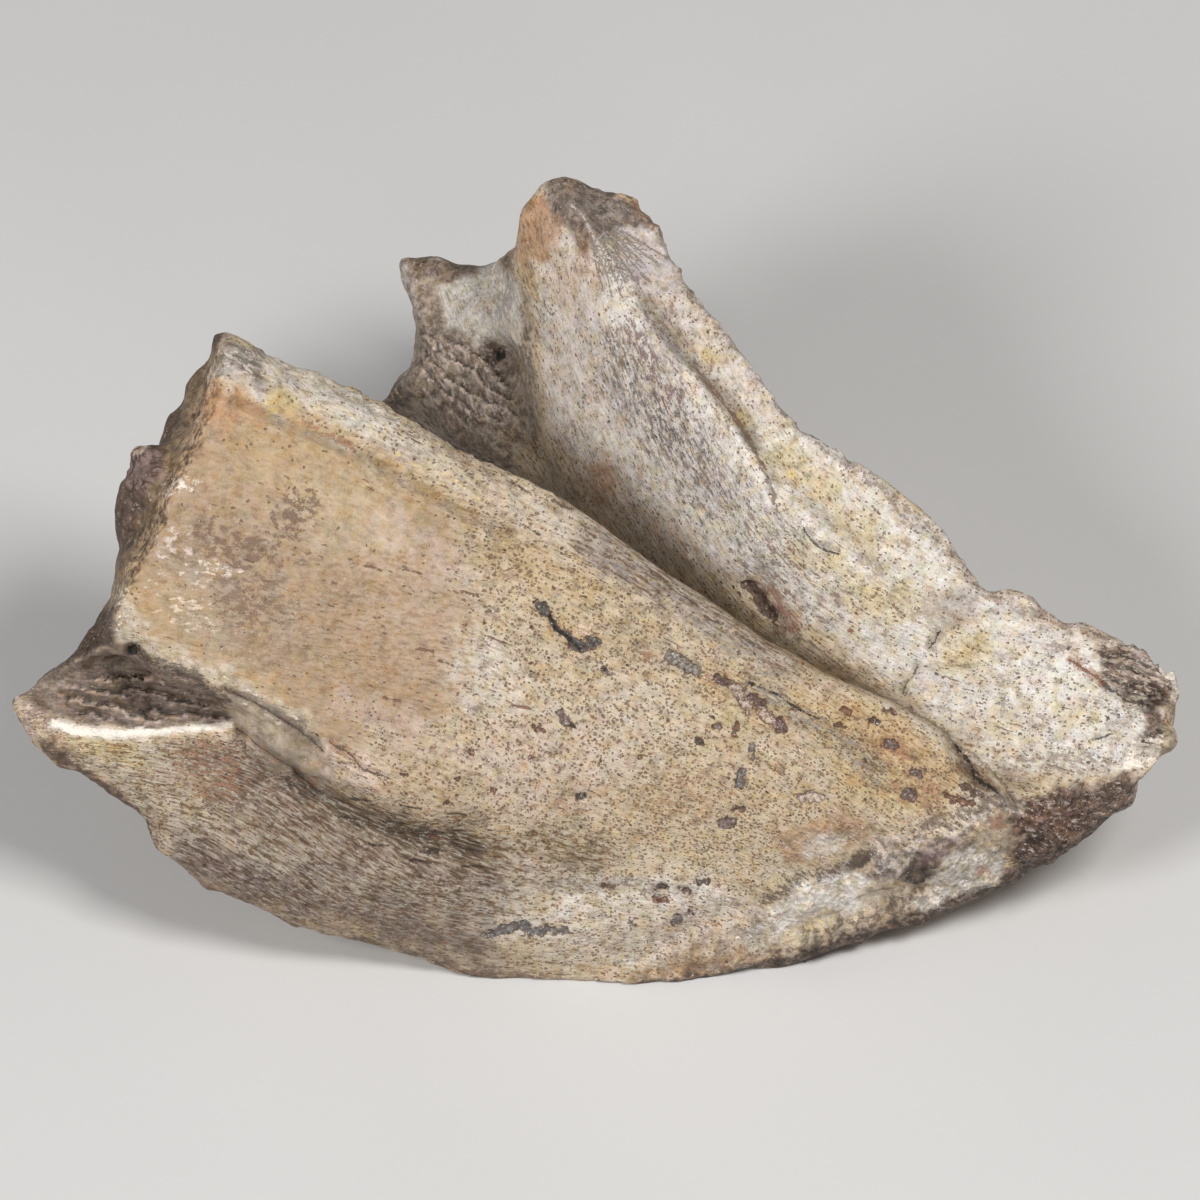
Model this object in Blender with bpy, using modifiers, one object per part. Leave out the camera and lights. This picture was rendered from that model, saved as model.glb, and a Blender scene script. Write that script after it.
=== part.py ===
"""Fossil lystrosaurus jaw: the front part of a lower jaw, both rami grown together at the symphysis.

The feature lines of the bone are written in millimetres in a leaning frame: across to the right, up
the leaning plane, and out of it towards whoever looks at the near ramus. LEAN tips that frame back
into the pose in which the jaw lies on its lower margins. The finished solid is in metres, +Z up, with
its origin under the middle of its box.
"""

import math

import bmesh
import bpy
import numpy as np
from mathutils import Vector, noise

MM = 0.001
NAME = "jaw"
LEAN = math.radians(50.0)
GROUND = -32.4
FOOT_REACH = 0.06
STATIONS = 44
BETWEEN_LINES = 4
VOXEL = 0.6
SMOOTHING = 0.5
SMOOTH_PASSES = 8
TRIANGLES = 9400
LUMP_SUBDIVISIONS = 4
SEED = 11.0
BASE_ROUGHNESS = 0.12
COARSE_SIZE = 6.0
MIDDLE_SIZE = 3.2
MIDDLE_SHARE = 0.7
OUT_SHARE = 0.25
FACING_SOFTNESS = 0.3
BONE_COLOUR = (0.50, 0.38, 0.24, 1.0)
BONE_ROUGHNESS = 0.75

# Near ramus, ring of feature lines from the upper crest over the outer face to the lower margin,
# then back up the inner side. Each line runs from the broken back end to the symphysis.
NEAR_RAMUS = {
    "crest": [(-38, 26.8, 5), (-33, 24.9, 3.5), (-23, 20.4, 1.5), (-15, 15.4, 1), (-4, 10.2, 0),
              (4, 4.6, 0), (10, 0.5, 0), (16, -3.5, 0), (24, -8, -0.5), (30, -10.5, -1),
              (36, -14.5, -1.5), (42, -21.5, -2)],
    "top_band": [(-37.5, 23.8, 8.5), (-27, 19.6, 6), (-18, 14.8, 4), (-9, 9.7, 2.7), (0, 3.6, 1.9),
                 (8, -2.5, 1.6), (18, -7.5, 1.1), (27, -12.5, 0.3), (40, -22, -2.2)],
    "furrow": [(-37.5, 20.5, 9.3), (-31, 17.2, 7.4), (-21.6, 13.3, 4.9), (-14.2, 8.9, 3.1), (-4.5, 4, 1.3),
               (4, -4, 0.9), (12, -9, 0.7), (20, -11.5, 0.5), (28, -16.5, -0.3), (38.5, -22.5, -2.5)],
    "face": [(-43.8, 8, 10.3), (-30, 2, 8.7), (-20, -4, 5.8), (-10, -9, 3.2), (0, -12, 1.2), (10, -16, 0.3),
             (20, -19, -0.6), (28, -22, -1.8), (34, -24, -3)],
    "block_edge": [(-50, -4, 7.5), (-45, -5.5, 8.5), (-37, -9, 8.2), (-31, -11.5, 7.5), (-26, -16, 5.7),
                   (-20, -19.5, 4.2), (-15, -20, 3.2), (-10, -19, 2.2), (0, -18, 0.8), (10, -20, -0.5),
                   (18, -23, -2), (26, -26, -4)],
    "recess": [(-56.5, -8, -0.2), (-50, -6.8, -0.8), (-44, -8.5, -0.5), (-36, -12.5, 0.8), (-27, -20, 1.2),
               (-20, -24, 0.2), (-10, -25, -1.2), (0, -25, -2.2), (10, -26, -3.2), (18, -27.5, -4.2),
               (25, -28, -5)],
    "flange_rim": [(-59.4, -10.2, 0.8), (-54, -12.8, 1.5), (-48, -12.4, 2), (-40, -13, 2.5), (-36, -14, 2.8),
                   (-31, -19, 2.5), (-26, -24, 1.4), (-20, -28, 0), (-10, -29, -2.3), (0, -29.5, -4),
                   (10, -30.5, -5.5), (16, -30.5, -6.5)],
    "flange_face": [(-56.5, -14.5, -0.5), (-48, -18, 0.5), (-40, -21, 0.5), (-32, -25, 0), (-24, -29, -1.5),
                    (-14, -31.5, -3.5), (0, -33.5, -6), (10, -33, -8)],
    "lower_margin": [(-54, -16.5, -2), (-46.3, -21.5, -2.5), (-42.8, -26.5, -3.5), (-39, -28.7, -4),
                     (-30, -32.8, -6.5), (-20, -35.6, -9), (-12, -37.8, -10.3), (2, -38.8, -10.3)],
    "under_edge": [(-54, -14, -5), (-43, -22, -8.5), (-33, -28, -12), (-20, -32, -15), (-8, -34.5, -15),
                   (10, -37.8, -11.2)],
    "inner_flange": [(-57.5, -10.5, -5), (-43, -15, -8.5), (-33, -20, -10), (-20, -24, -14), (-8, -26, -17),
                     (6, -28, -19), (20, -35.5, -12.8)],
    "inner_wall": [(-51, -5, -7), (-36, 2, -8.5), (-24, 0, -9), (-12, -3, -10), (0, -8, -13), (12, -14, -16),
                   (30, -32.5, -15.2)],
    "inner_middle": [(-47, 10, -3.5), (-33, 12, -5.5), (-22, 8, -7), (-11, 4, -8.5), (0, -1, -10),
                     (10, -7, -12), (28, -22, -15), (36, -31, -17)],
    "inner_crest": [(-40.2, 24, 0), (-30, 20, -4), (-21, 16.5, -5), (-12, 11.5, -6), (-3, 7, -6.5),
                    (5, 1, -7), (16, -6, -8), (28, -16, -12), (40, -28, -18.5)],
}

# Far ramus, ring of feature lines from the outer horizon over the inner ridge and down the inner wall,
# under the lower margin and back up the outer face, which repeats that of the near ramus.
FAR_RAMUS = {
    "horizon": [(3, 40.3, -14), (6.3, 36.6, -11.5), (8.8, 31.5, -8.5), (14, 25, -6), (20, 17.3, -4),
                (27.6, 12.8, -3.5), (33.8, 7.8, -3), (38, 1.8, -3), (38.6, 0.8, -3), (40.5, 1.4, -2.8),
                (43.5, 0.3, -2.6), (45, -1.4, -2.5), (52, -3.7, -2), (58.5, -7.3, -1.5)],
    "outer_band": [(-2, 42.3, -14.5), (4, 35.5, -10.8), (8, 27.5, -7.4), (14, 19.5, -4.8), (20.5, 11.5, -3.1),
                   (27, 6, -2.4), (32.5, 1.5, -2.4), (37, -2, -2.4), (46, -5.5, -2.1), (57, -9.5, -2.2)],
    "ridge": [(-6, 42.5, -14), (-1, 37.5, -9.5), (6, 27, -5), (12, 20, -2.4), (17, 12, -0.6), (20, 9, -0.3),
              (25, 5.5, -0.2), (30, 1, -0.5), (33, -2, -0.9), (40, -6, -1.5), (50, -10, -1.5),
              (56.5, -12.5, -1.8)],
    "inner_face": [(-8.5, 38, -15), (-3, 31, -10.7), (0, 24, -9.2), (6, 14, -7.4), (12, 6.5, -6),
                   (18, 0, -4.6), (25, -4.5, -3.3), (32, -8, -2.8), (40, -12, -2.6), (48, -15, -2.5),
                   (57, -16, -2.8)],
    "gap_edge": [(-9.5, 32, -20), (-7.5, 20, -22), (-3, 11, -21), (1, 7, -18.5), (8, 2, -13),
                 (17, -4, -8), (30, -10, -4), (36, -14, -3.2), (41, -18, -3), (54, -18.5, -4)],
    "inner_wall": [(-12, 18, -32), (-4, 8, -31), (4, -3.7, -25), (14, -10, -20), (30, -20, -18),
                   (53, -19, -8)],
    "under_edge": [(-8, 22, -46), (4, 12, -46), (14, 2, -42), (24, -8, -36), (36, -18, -28),
                   (50, -22, -17)],
    "lower_margin": [(-1, 30, -55), (6, 26, -56), (16, 15.5, -53.5), (28, 2.5, -44), (38, -8, -35),
                     (46, -16, -26), (53, -19, -13)],
    "lower_face": [(-2, 34, -50), (3, 31, -50), (13.4, 23.2, -47), (24, 9, -40), (34, -1, -31),
                   (44, -10, -23), (54, -17, -11)],
    "groove": [(-4, 32, -39), (5, 28.5, -39), (14, 20, -36.5), (24, 8.5, -32), (34, -1, -26),
               (44, -7, -19), (56, -14, -8)],
    "block_edge": [(-6, 40, -36), (3, 36, -36), (10, 30, -34.5), (18, 18.5, -29.5), (27.8, 6, -22.5),
                   (38, -2, -17), (47, -6, -13), (58, -11, -6)],
    "outer_face": [(-4, 42, -22), (4, 34.5, -20), (12, 24, -17), (20, 14.5, -14), (29, 6, -11.5),
                   (38, -1, -9.5), (48, -4.5, -8), (58.5, -9, -3.5)],
}

# Stub of the far ramus that reaches back past its broken top, from its own end into the bone.
FAR_STUB = {
    "top_outer": [(-18, 32, -38), (-10, 33, -35), (0, 32, -28)],
    "top_inner": [(-20.8, 35, -31), (-15, 34.3, -29.5), (-11.5, 33.4, -28), (-8.5, 36, -24),
                  (-2, 33, -18)],
    "face_high": [(-18.6, 30.5, -29.5), (-14, 29.5, -27.5), (-7, 29, -22), (0, 27, -16)],
    "face_low": [(-17.6, 25.5, -28.5), (-13, 24, -26.5), (-7, 23, -22.5), (0, 20, -18)],
    "foot_inner": [(-22.5, 20.5, -30), (-18.6, 20.3, -29), (-16, 18.8, -28.5), (-13.5, 16.4, -27.5),
                   (-6, 12, -25), (2, 8, -21)],
    "foot_outer": [(-22, 19, -38), (-10, 15, -38), (0, 12, -34)],
}

# Broken front edge of the beak, from its left end round to the tip.
FRONT_BREAK = {
    "upper_edge": [(2, -38.2, -9.5), (10, -33.4, -7.8), (16, -31, -6.3), (25, -28.5, -4.8), (27, -26.5, -3.8),
                   (34, -24.2, -2.8), (42, -21.7, -2), (49, -18.2, -2), (54.5, -17.5, -3)],
    "broken_face": [(6, -38.3, -10), (13, -35.6, -8.4), (20, -32.9, -7.5), (28, -29.5, -6.6),
                    (36, -26, -5.2), (43, -23.7, -4.4), (49, -20.7, -4), (54, -18.8, -4)],
    "lower_edge": [(2, -39.2, -10.5), (10, -38.2, -10.4), (20, -36.2, -10.2), (30, -33.2, -10),
                   (40, -29, -9.5), (45, -26.3, -9), (50, -23, -8), (54, -19.5, -6.5)],
    "under": [(2, -36, -16), (15, -34, -16), (30, -29, -19), (42, -22, -20), (53, -18.5, -12)],
    "inside": [(2, -33, -12), (15, -28, -12), (30, -22, -12), (45, -18, -10), (53, -17.5, -7)],
}

# Lumps of bone and matrix: centre, then half sizes along across, up and out.
LUMPS = {
    "spongy_lump": ((-44.8, 12.4, 3), (2.6, 3.4, 3.4)),
    "spongy_lump_below": ((-46.6, 8.6, 0.5), (2.4, 4, 4)),
    "matrix_tongue": ((-31, -14, 1), (5.5, 4.5, 4.5)),
    "recess_matrix": ((-50, -8.5, -1.5), (6, 3, 2.5)),
    "chin": ((28, -16, -14), (16, 9, 11)),
    "chin_floor": ((26, -13, -22), (14, 13, 9)),
}

# Places that broke or that matrix covers: centre, reach, and how far the surface is thrown about.
BROKEN = {
    "near_end_top": ((-40, 20, 3), 9, 0.7),
    "near_end": ((-47, 6, 2), 10, 0.9),
    "recess": ((-48, -8, 2), 8, 0.9),
    "flange_tip": ((-56, -12, 0), 6, 0.4),
    "flange_edge": ((-46, -25, -5), 8, 0.7),
    "far_top": ((0, 41, -13), 8, 0.8),
    "far_stub": ((-15, 26, -32), 13, 1.1),
    "front_left": ((20, -32, -11), 10, 0.7),
    "front_right": ((38, -25, -10), 12, 0.9),
    "tip": ((56, -12, -5), 9, 1.0),
}

# Cracks, pits and bumps on surfaces that face out: a line, half its width, and its height, below zero
# where it is sunk.
MARKS = {
    "recess_hole": ([(-48.5, -4.8, 2), (-45.5, -5.2, 2)], 1.4, -2.0),
    "recess_floor": ([(-31, -18.5, 1.2), (-27, -21.5, 1.2), (-22, -24.2, 0.4), (-15, -25, -0.6)], 2.2, -0.7),
    "far_pit": ([(15.2, 1, -5.5), (17.4, -2.8, -6.3)], 2.0, -0.9),
    "ridge_groove": ([(4, 30, -7.5), (10, 23, -5), (14, 19, -3.6), (19, 11, -1.8)], 1.3, -0.45),
    "ridge_crease": ([(28, 4, -1), (33, -2.5, -1.5)], 1.2, -0.4),
    "far_top_edge": ([(-2.8, 39.5, -12.5), (-0.5, 36, -9.5)], 0.9, 0.6),
    "stub_hole": ([(-10.6, 24.9, -26), (-9.8, 24.3, -26)], 1.5, -1.8),
    "beak_crack": ([(35.5, -14.5, -1.5), (36.5, -16.5, -1.8), (38.5, -19, -2.2)], 0.9, -1.0),
    "beak_furrow": ([(15.5, -9, 0), (21, -12.5, -0.3), (27, -16, -0.5)], 1.2, -0.25),
    "tip_notch": ([(56, -10.5, -3), (56.6, -12, -3.5)], 1.0, -1.5),
    "tip_lump": ([(55, -14, -3), (57, -14, -3)], 1.0, 0.7),
    "crest_dip": ([(-30.5, 24, 2.2), (-27, 22.4, 2), (-23.5, 20.8, 1.6)], 1.4, -0.7),
    "crest_bump_back": ([(-29, 22.9, 2.2), (-28.4, 22.7, 2.2)], 1.0, 0.6),
    "crest_bump_front": ([(-24.2, 20.8, 1.6), (-23.8, 20.6, 1.6)], 1.0, 0.5),
}


def to_world(point):
    """Turns a point of the leaning frame into the standing one."""
    across, up, out = point
    back = up * math.sin(LEAN) - out * math.cos(LEAN)
    height = up * math.cos(LEAN) + out * math.sin(LEAN)
    return Vector((across, back, height))


def curve_through(points, count, closed=False):
    """Points spaced along a centripetal curve that passes through the given ones."""
    given = [Vector(p) for p in points]
    if closed:
        padded = [given[-1]] + given + [given[0], given[1]]
    else:
        padded = [2 * given[0] - given[1]] + given + [2 * given[-1] - given[-2]]
    spans = len(padded) - 3
    lengths = [(padded[i + 2] - padded[i + 1]).length for i in range(spans)]
    total = sum(lengths)
    steps = count if closed else count - 1
    found = []
    for step in range(count):
        travelled = total * step / steps
        span = 0
        while span < spans - 1 and travelled > lengths[span]:
            travelled -= lengths[span]
            span += 1
        found.append(span_point(padded[span:span + 4], travelled / lengths[span]))
    return found


def span_point(four, share):
    """A point between the middle two of four, by the centripetal Catmull-Rom rule."""
    knots = [0.0]
    for first, second in zip(four, four[1:]):
        knots.append(knots[-1] + math.sqrt((second - first).length))
    knot = knots[1] + share * (knots[2] - knots[1])
    singles = [mixed(four[i], four[i + 1], knots[i], knots[i + 1], knot) for i in range(3)]
    doubles = [mixed(singles[i], singles[i + 1], knots[i], knots[i + 2], knot) for i in range(2)]
    return mixed(doubles[0], doubles[1], knots[1], knots[2], knot)


def mixed(first, second, low, high, knot):
    """Two points mixed by where a knot lies between theirs."""
    return first.lerp(second, (knot - low) / (high - low))


def add_loft(bm, lines):
    """A closed loft through a ring of feature lines, capped at both ends."""
    sampled = [curve_through([to_world(p) for p in line], STATIONS) for line in lines.values()]
    around = len(sampled) * BETWEEN_LINES
    rings = []
    for station in range(STATIONS):
        section = [line[station] for line in sampled]
        rings.append([bm.verts.new(p) for p in curve_through(section, around, closed=True)])
    for ring, following in zip(rings, rings[1:]):
        for i in range(around):
            j = (i + 1) % around
            bm.faces.new((ring[i], ring[j], following[j], following[i]))
    close_end(bm, rings[0])
    close_end(bm, rings[-1])


def close_end(bm, ring):
    """Closes a ring with triangles laced back and forth across its thickness."""
    left = 0
    right = len(ring) - 1
    while right - left > 1:
        forward = (ring[left + 1].co - ring[right].co).length
        backward = (ring[left].co - ring[right - 1].co).length
        if forward < backward:
            bm.faces.new((ring[left], ring[left + 1], ring[right]))
            left += 1
        else:
            bm.faces.new((ring[left], ring[right - 1], ring[right]))
            right -= 1


def add_lump(bm, centre, half_sizes):
    """A rounded lump, stretched along the axes of the leaning frame."""
    ball = bmesh.ops.create_icosphere(bm, subdivisions=LUMP_SUBDIVISIONS, radius=1.0)
    for vert in ball["verts"]:
        stretched = [c + v * h for c, v, h in zip(centre, vert.co, half_sizes)]
        vert.co = to_world(stretched)


def raw_shapes():
    """The lofts and lumps as one overlapping mesh."""
    bm = bmesh.new()
    for lines in (NEAR_RAMUS, FAR_RAMUS, FAR_STUB, FRONT_BREAK):
        add_loft(bm, lines)
    for centre, half_sizes in LUMPS.values():
        add_lump(bm, centre, half_sizes)
    bmesh.ops.recalc_face_normals(bm, faces=bm.faces)
    mesh = bpy.data.meshes.new("raw_shapes")
    bm.to_mesh(mesh)
    bm.free()
    return mesh


def evaluated(mesh, *modifiers):
    """A copy of a mesh after the named modifiers with their settings."""
    helper = bpy.data.objects.new("helper", mesh)
    bpy.context.scene.collection.objects.link(helper)
    for kind, settings in modifiers:
        modifier = helper.modifiers.new(kind.title(), kind)
        for key, value in settings.items():
            setattr(modifier, key, value)
    graph = bpy.context.evaluated_depsgraph_get()
    result = bpy.data.meshes.new_from_object(helper.evaluated_get(graph))
    bpy.data.objects.remove(helper)
    return result


def fused():
    """The shapes grown together into one skin, with soft valleys where they meet."""
    remesh = ("REMESH", {"mode": "VOXEL", "voxel_size": VOXEL})
    smooth = ("SMOOTH", {"factor": SMOOTHING, "iterations": SMOOTH_PASSES})
    return evaluated(raw_shapes(), remesh, smooth)


def roughness_at(point):
    """How far broken bone and matrix throw the surface about at a point."""
    amount = BASE_ROUGHNESS
    for centre, reach, height in BROKEN.values():
        distance = (point - to_world(centre)).length / reach
        amount += height * math.exp(-distance ** 2)
    return amount


def roughen(mesh):
    """Moves the skin along its normals by lumps and ledges of several sizes."""
    offset = Vector((SEED, -SEED, 2 * SEED))
    moves = []
    for vert in mesh.vertices:
        coarse = noise.noise((vert.co + offset) / COARSE_SIZE)
        middle = noise.noise((vert.co - offset) / MIDDLE_SIZE)
        moves.append(vert.normal * roughness_at(vert.co) * (coarse + MIDDLE_SHARE * middle))
    for vert, move in zip(mesh.vertices, moves):
        vert.co += move


def leaning_rows(vectors):
    """Turns vectors of the standing frame into rows of the leaning one."""
    rows = np.array(vectors)
    up = rows[:, 1] * math.sin(LEAN) + rows[:, 2] * math.cos(LEAN)
    out = rows[:, 2] * math.sin(LEAN) - rows[:, 1] * math.cos(LEAN)
    return np.column_stack((rows[:, 0], up, out))


def distances_to(line, rows):
    """Distance of each row to a line of points. How far out a row lies counts for only a share."""
    shares = np.array((1.0, 1.0, OUT_SHARE))
    nearest = np.full(len(rows), np.inf)
    for first, second in zip(line, line[1:]):
        start = np.array(first) * shares
        along = np.array(second) * shares - start
        offsets = rows * shares - start
        reached = np.clip(offsets @ along / (along @ along), 0.0, 1.0)
        nearest = np.minimum(nearest, np.linalg.norm(offsets - np.outer(reached, along), axis=1))
    return nearest


def add_marks(mesh):
    """Sinks the cracks and pits and raises the bumps, on what faces out of the leaning plane."""
    points = leaning_rows([vert.co for vert in mesh.vertices])
    normals = leaning_rows([vert.normal for vert in mesh.vertices])
    facing = np.clip((normals[:, 2] + FACING_SOFTNESS) / (2 * FACING_SOFTNESS), 0.0, 1.0)
    heights = np.zeros(len(points))
    for line, half_width, height in MARKS.values():
        heights += height * np.exp(-(distances_to(line, points) / half_width) ** 2)
    moves = [vert.normal * float(height) for vert, height in zip(mesh.vertices, heights * facing)]
    for vert, move in zip(mesh.vertices, moves):
        vert.co += move


def flatten_foot(mesh, reach):
    """Presses what lies below the ground or within reach of it flat, so that the jaw rests on facets."""
    for vert in mesh.vertices:
        if vert.co.z < GROUND + reach:
            vert.co.z = GROUND


def centre_over_origin(mesh):
    """Moves the mesh so that its box stands on the origin, and turns it into metres."""
    points = np.array([vert.co for vert in mesh.vertices])
    low = points.min(axis=0)
    high = points.max(axis=0)
    origin = Vector(((low[0] + high[0]) / 2, (low[1] + high[1]) / 2, low[2]))
    for vert in mesh.vertices:
        vert.co = (vert.co - origin) * MM
    return origin


def bone_material():
    """Cream fossil bone."""
    material = bpy.data.materials.new("fossil_bone")
    material.use_nodes = True
    shader = material.node_tree.nodes["Principled BSDF"]
    shader.inputs["Base Color"].default_value = BONE_COLOUR
    shader.inputs["Roughness"].default_value = BONE_ROUGHNESS
    shader.inputs["Metallic"].default_value = 0.0
    return material


def build():
    """Clears the scene and makes the jaw."""
    for leftover in list(bpy.data.objects):
        bpy.data.objects.remove(leftover)
    collection = bpy.data.collections.new("lystrosaurus_jaw")
    bpy.context.scene.collection.children.link(collection)
    skin = fused()
    roughen(skin)
    add_marks(skin)
    flatten_foot(skin, 0.0)
    thin = ("DECIMATE", {"ratio": TRIANGLES / (2 * len(skin.polygons))})
    mesh = evaluated(skin, thin)
    flatten_foot(mesh, FOOT_REACH)
    mesh.name = NAME
    centre_over_origin(mesh)
    mesh.materials.append(bone_material())
    jaw = bpy.data.objects.new(NAME, mesh)
    collection.objects.link(jaw)
    return jaw


build()
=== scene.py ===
import math

import bpy
import numpy as np
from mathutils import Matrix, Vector


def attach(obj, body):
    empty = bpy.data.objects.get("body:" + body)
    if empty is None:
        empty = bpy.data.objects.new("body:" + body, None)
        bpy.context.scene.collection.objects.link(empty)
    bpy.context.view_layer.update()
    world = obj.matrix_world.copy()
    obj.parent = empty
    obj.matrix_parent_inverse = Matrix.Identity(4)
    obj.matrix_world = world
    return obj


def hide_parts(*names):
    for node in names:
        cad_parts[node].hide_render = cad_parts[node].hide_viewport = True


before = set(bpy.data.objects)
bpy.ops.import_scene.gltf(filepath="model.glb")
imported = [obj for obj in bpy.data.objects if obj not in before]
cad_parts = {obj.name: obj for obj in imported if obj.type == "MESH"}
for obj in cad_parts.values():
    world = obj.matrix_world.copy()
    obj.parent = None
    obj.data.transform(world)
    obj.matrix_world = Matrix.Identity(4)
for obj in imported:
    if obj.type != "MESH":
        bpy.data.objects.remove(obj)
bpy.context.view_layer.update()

# The picture's frame: it is 1200 pixels wide, and 10 pixels are a millimetre where it looks.
MM = 0.001
TILT = math.radians(50.0)
LOOKS_AT = np.array((0.13, -17.82, 32.40))
DISTANCE = 1500.0
FRAME_MM = 120.0
FRAME_PIXELS = 1200.0
RIGHT = np.array((1.0, 0.0, 0.0))
UP = np.array((0.0, math.sin(TILT), math.cos(TILT)))
OUT = np.array((0.0, -math.cos(TILT), math.sin(TILT)))

# The plane between the rami, seen from above.
MIDDLE_NORMAL = np.array((0.53, 0.846, 0.0))
MIDDLE_POINT = np.array((0.0, -4.5, 0.0))

# The near crest. What lies above it in the picture is the far ramus.
NEAR_CREST = ((0, 300), (225, 330), (270, 348), (370, 395), (450, 444), (560, 498), (640, 553), (700, 594),
              (760, 638), (840, 684), (900, 710), (960, 748), (1010, 795), (1090, 775), (1200, 760))
FRONT_TOP = 765.0
FRONT_LEFT = 540.0
STUB_RIGHT = 560.0
STUB_DEPTH = -14.0

# How far the near side reaches past the plane between the rami, in millimetres.
NEAR_REACH = 6.0

# How softly the sides end: in pixels, then in millimetres, then by how far the surface turns away.
CREST_SOFT = 6.0
FRONT_TOP_SOFT = 10.0
FRONT_LEFT_SOFT = 40.0
STUB_RIGHT_SOFT = 30.0
STUB_DEPTH_SOFT = 4.0
NEAR_SOFT = 4.0
SEEN_SOFT = 0.40

# The skin's net, in millimetres, and how it is thinned where the picture doesn't show it.
CAGE_ROUNDS = 2
VOXEL = 0.32
TRIANGLES = 196000
HIDDEN_FROM = -0.05
SEEN_GROUP = 0.5
LENGTH_WEIGHT = 0.02

# Colours on the screen, from 0 to 255.
COLOURS = {
    "cream": (202, 185, 159), "pale": (211, 200, 186), "white": (228, 221, 211), "tan": (186, 161, 132),
    "ochre": (194, 168, 127), "yellow": (204, 183, 128), "orange": (188, 147, 112), "rust": (132, 88, 68),
    "red": (132, 76, 64), "brown": (106, 84, 71), "dark": (62, 50, 44), "black": (24, 20, 18),
    "purple": (132, 114, 111), "slate": (118, 115, 115), "grey": (142, 133, 126), "pink": (205, 184, 170),
    "lilac": (202, 190, 184), "olive": (138, 122, 95), "stone": (158, 144, 130), "matrix": (118, 102, 93),
    "iron": (80, 76, 77), "plum": (104, 78, 78), "honey": (176, 149, 120),
}

# What the material reads at each point, apart from its colour, and what plain bone has of it.
CHANNELS = ("pores", "fibres", "rock", "crystal", "dashes", "flecks")
BONE_CHANNELS = {"pores": 0.6, "fibres": 0.5, "dashes": 0.2, "flecks": 0.5}

# What the paint functions put on the jaw.
WASHES = []
FLECKS = []
LEDGES = []
RELIEF = []
LINES = []
PITS = []


# Noise over points, in millimetres.


def scatter(ix, iy, iz, seed):
    """A number from -1 to 1 for each lattice point."""
    mixed = (ix * 374761393 + iy * 668265263 + iz * 1103515245 + seed * 1274126177) & 0xFFFFFFFF
    mixed = ((mixed ^ (mixed >> 13)) * 1274126177) & 0xFFFFFFFF
    return ((mixed ^ (mixed >> 16)) & 0xFFFF) / 32768.0 - 1.0


def noise_at(points, size, seed):
    """Smooth noise with lumps of about that size."""
    scaled = points / size
    cell = np.floor(scaled).astype(np.int64)
    part = scaled - cell
    part = part * part * (3.0 - 2.0 * part)
    total = np.zeros(len(points))
    for corner in range(8):
        step = np.array((corner & 1, (corner >> 1) & 1, corner >> 2))
        share = np.prod(np.where(step, part, 1.0 - part), axis=1)
        at = cell + step
        total += share * scatter(at[:, 0], at[:, 1], at[:, 2], seed)
    return total


def layered(points, size, seed, layers=3):
    """Noise with finer and weaker layers on top."""
    total = np.zeros(len(points))
    for layer in range(layers):
        total += noise_at(points, size / 2 ** layer, seed + layer) / 2 ** layer
    return total


def cells_at(points, size, seed):
    """How far a point is from the border between scattered cells, in cell sizes."""
    scaled = points / size
    cell = np.floor(scaled).astype(np.int64)
    first = np.full(len(points), 9.0)
    second = np.full(len(points), 9.0)
    for step in np.ndindex(3, 3, 3):
        at = cell + np.array(step) - 1
        jitter = [scatter(at[:, 0], at[:, 1], at[:, 2], seed + k) * 0.5 + 0.5 for k in range(3)]
        distance = np.linalg.norm(at + np.column_stack(jitter) - scaled, axis=1)
        second = np.minimum(second, np.maximum(first, distance))
        first = np.minimum(first, distance)
    return second - first


def smooth(value):
    """A soft step from 0 to 1."""
    value = np.clip(value, 0.0, 1.0)
    return value * value * (3.0 - 2.0 * value)


def linear(colour):
    """A screen colour as light."""
    scaled = np.array(colour) / 255.0
    return np.where(scaled < 0.04045, scaled / 12.92, ((scaled + 0.055) / 1.055) ** 2.4)


# Shapes in picture pixels. Each gives 0 at its middle and 1 at its edge.


def spot(x, y, half_long, half_wide, turn=0.0):
    """An oval, turned clockwise by some degrees."""
    turn = math.radians(turn)

    def distance(px, py):
        along = (px - x) * math.cos(turn) + (py - y) * math.sin(turn)
        across = (py - y) * math.cos(turn) - (px - x) * math.sin(turn)
        return np.hypot(along / half_long, across / half_wide)
    return distance


def stroke(half_width, *points):
    """A line through points."""
    def distance(px, py):
        nearest = np.full(len(px), 1e9)
        for (ax, ay), (bx, by) in zip(points, points[1:]):
            length = (bx - ax) ** 2 + (by - ay) ** 2
            share = np.clip(((px - ax) * (bx - ax) + (py - ay) * (by - ay)) / length, 0.0, 1.0)
            nearest = np.minimum(nearest, np.hypot(px - ax - share * (bx - ax), py - ay - share * (by - ay)))
        return nearest / half_width
    return distance


def area(edge, *points):
    """A closed outline, with an edge that many pixels wide."""
    outline = stroke(1.0, *points, points[0])

    def distance(px, py):
        inside = np.zeros(len(px), bool)
        for (ax, ay), (bx, by) in zip(points, points[1:] + points[:1]):
            crosses = (ay > py) != (by > py)
            at = ax + (py - ay) * (bx - ax) / (by - ay if by != ay else 1.0)
            inside ^= crosses & (px < at)
        far = outline(px, py) / edge
        return np.where(inside, np.maximum(0.0, 1.0 - far), 1.0 + far)
    return distance


def wash(side, shape, colour, amount=1.0, soft=0.9, broken=0.4, **channels):
    """A soft patch of colour on one side, with its channel values."""
    WASHES.append((side, shape, colour, amount, soft, broken, channels))


def fleck(side, shape, colour, amount, soft=1.0, strength=0.8):
    """A patch of crisp flecks along the grain, which cover that share of it."""
    FLECKS.append((side, shape, colour, amount, soft, strength))


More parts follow.
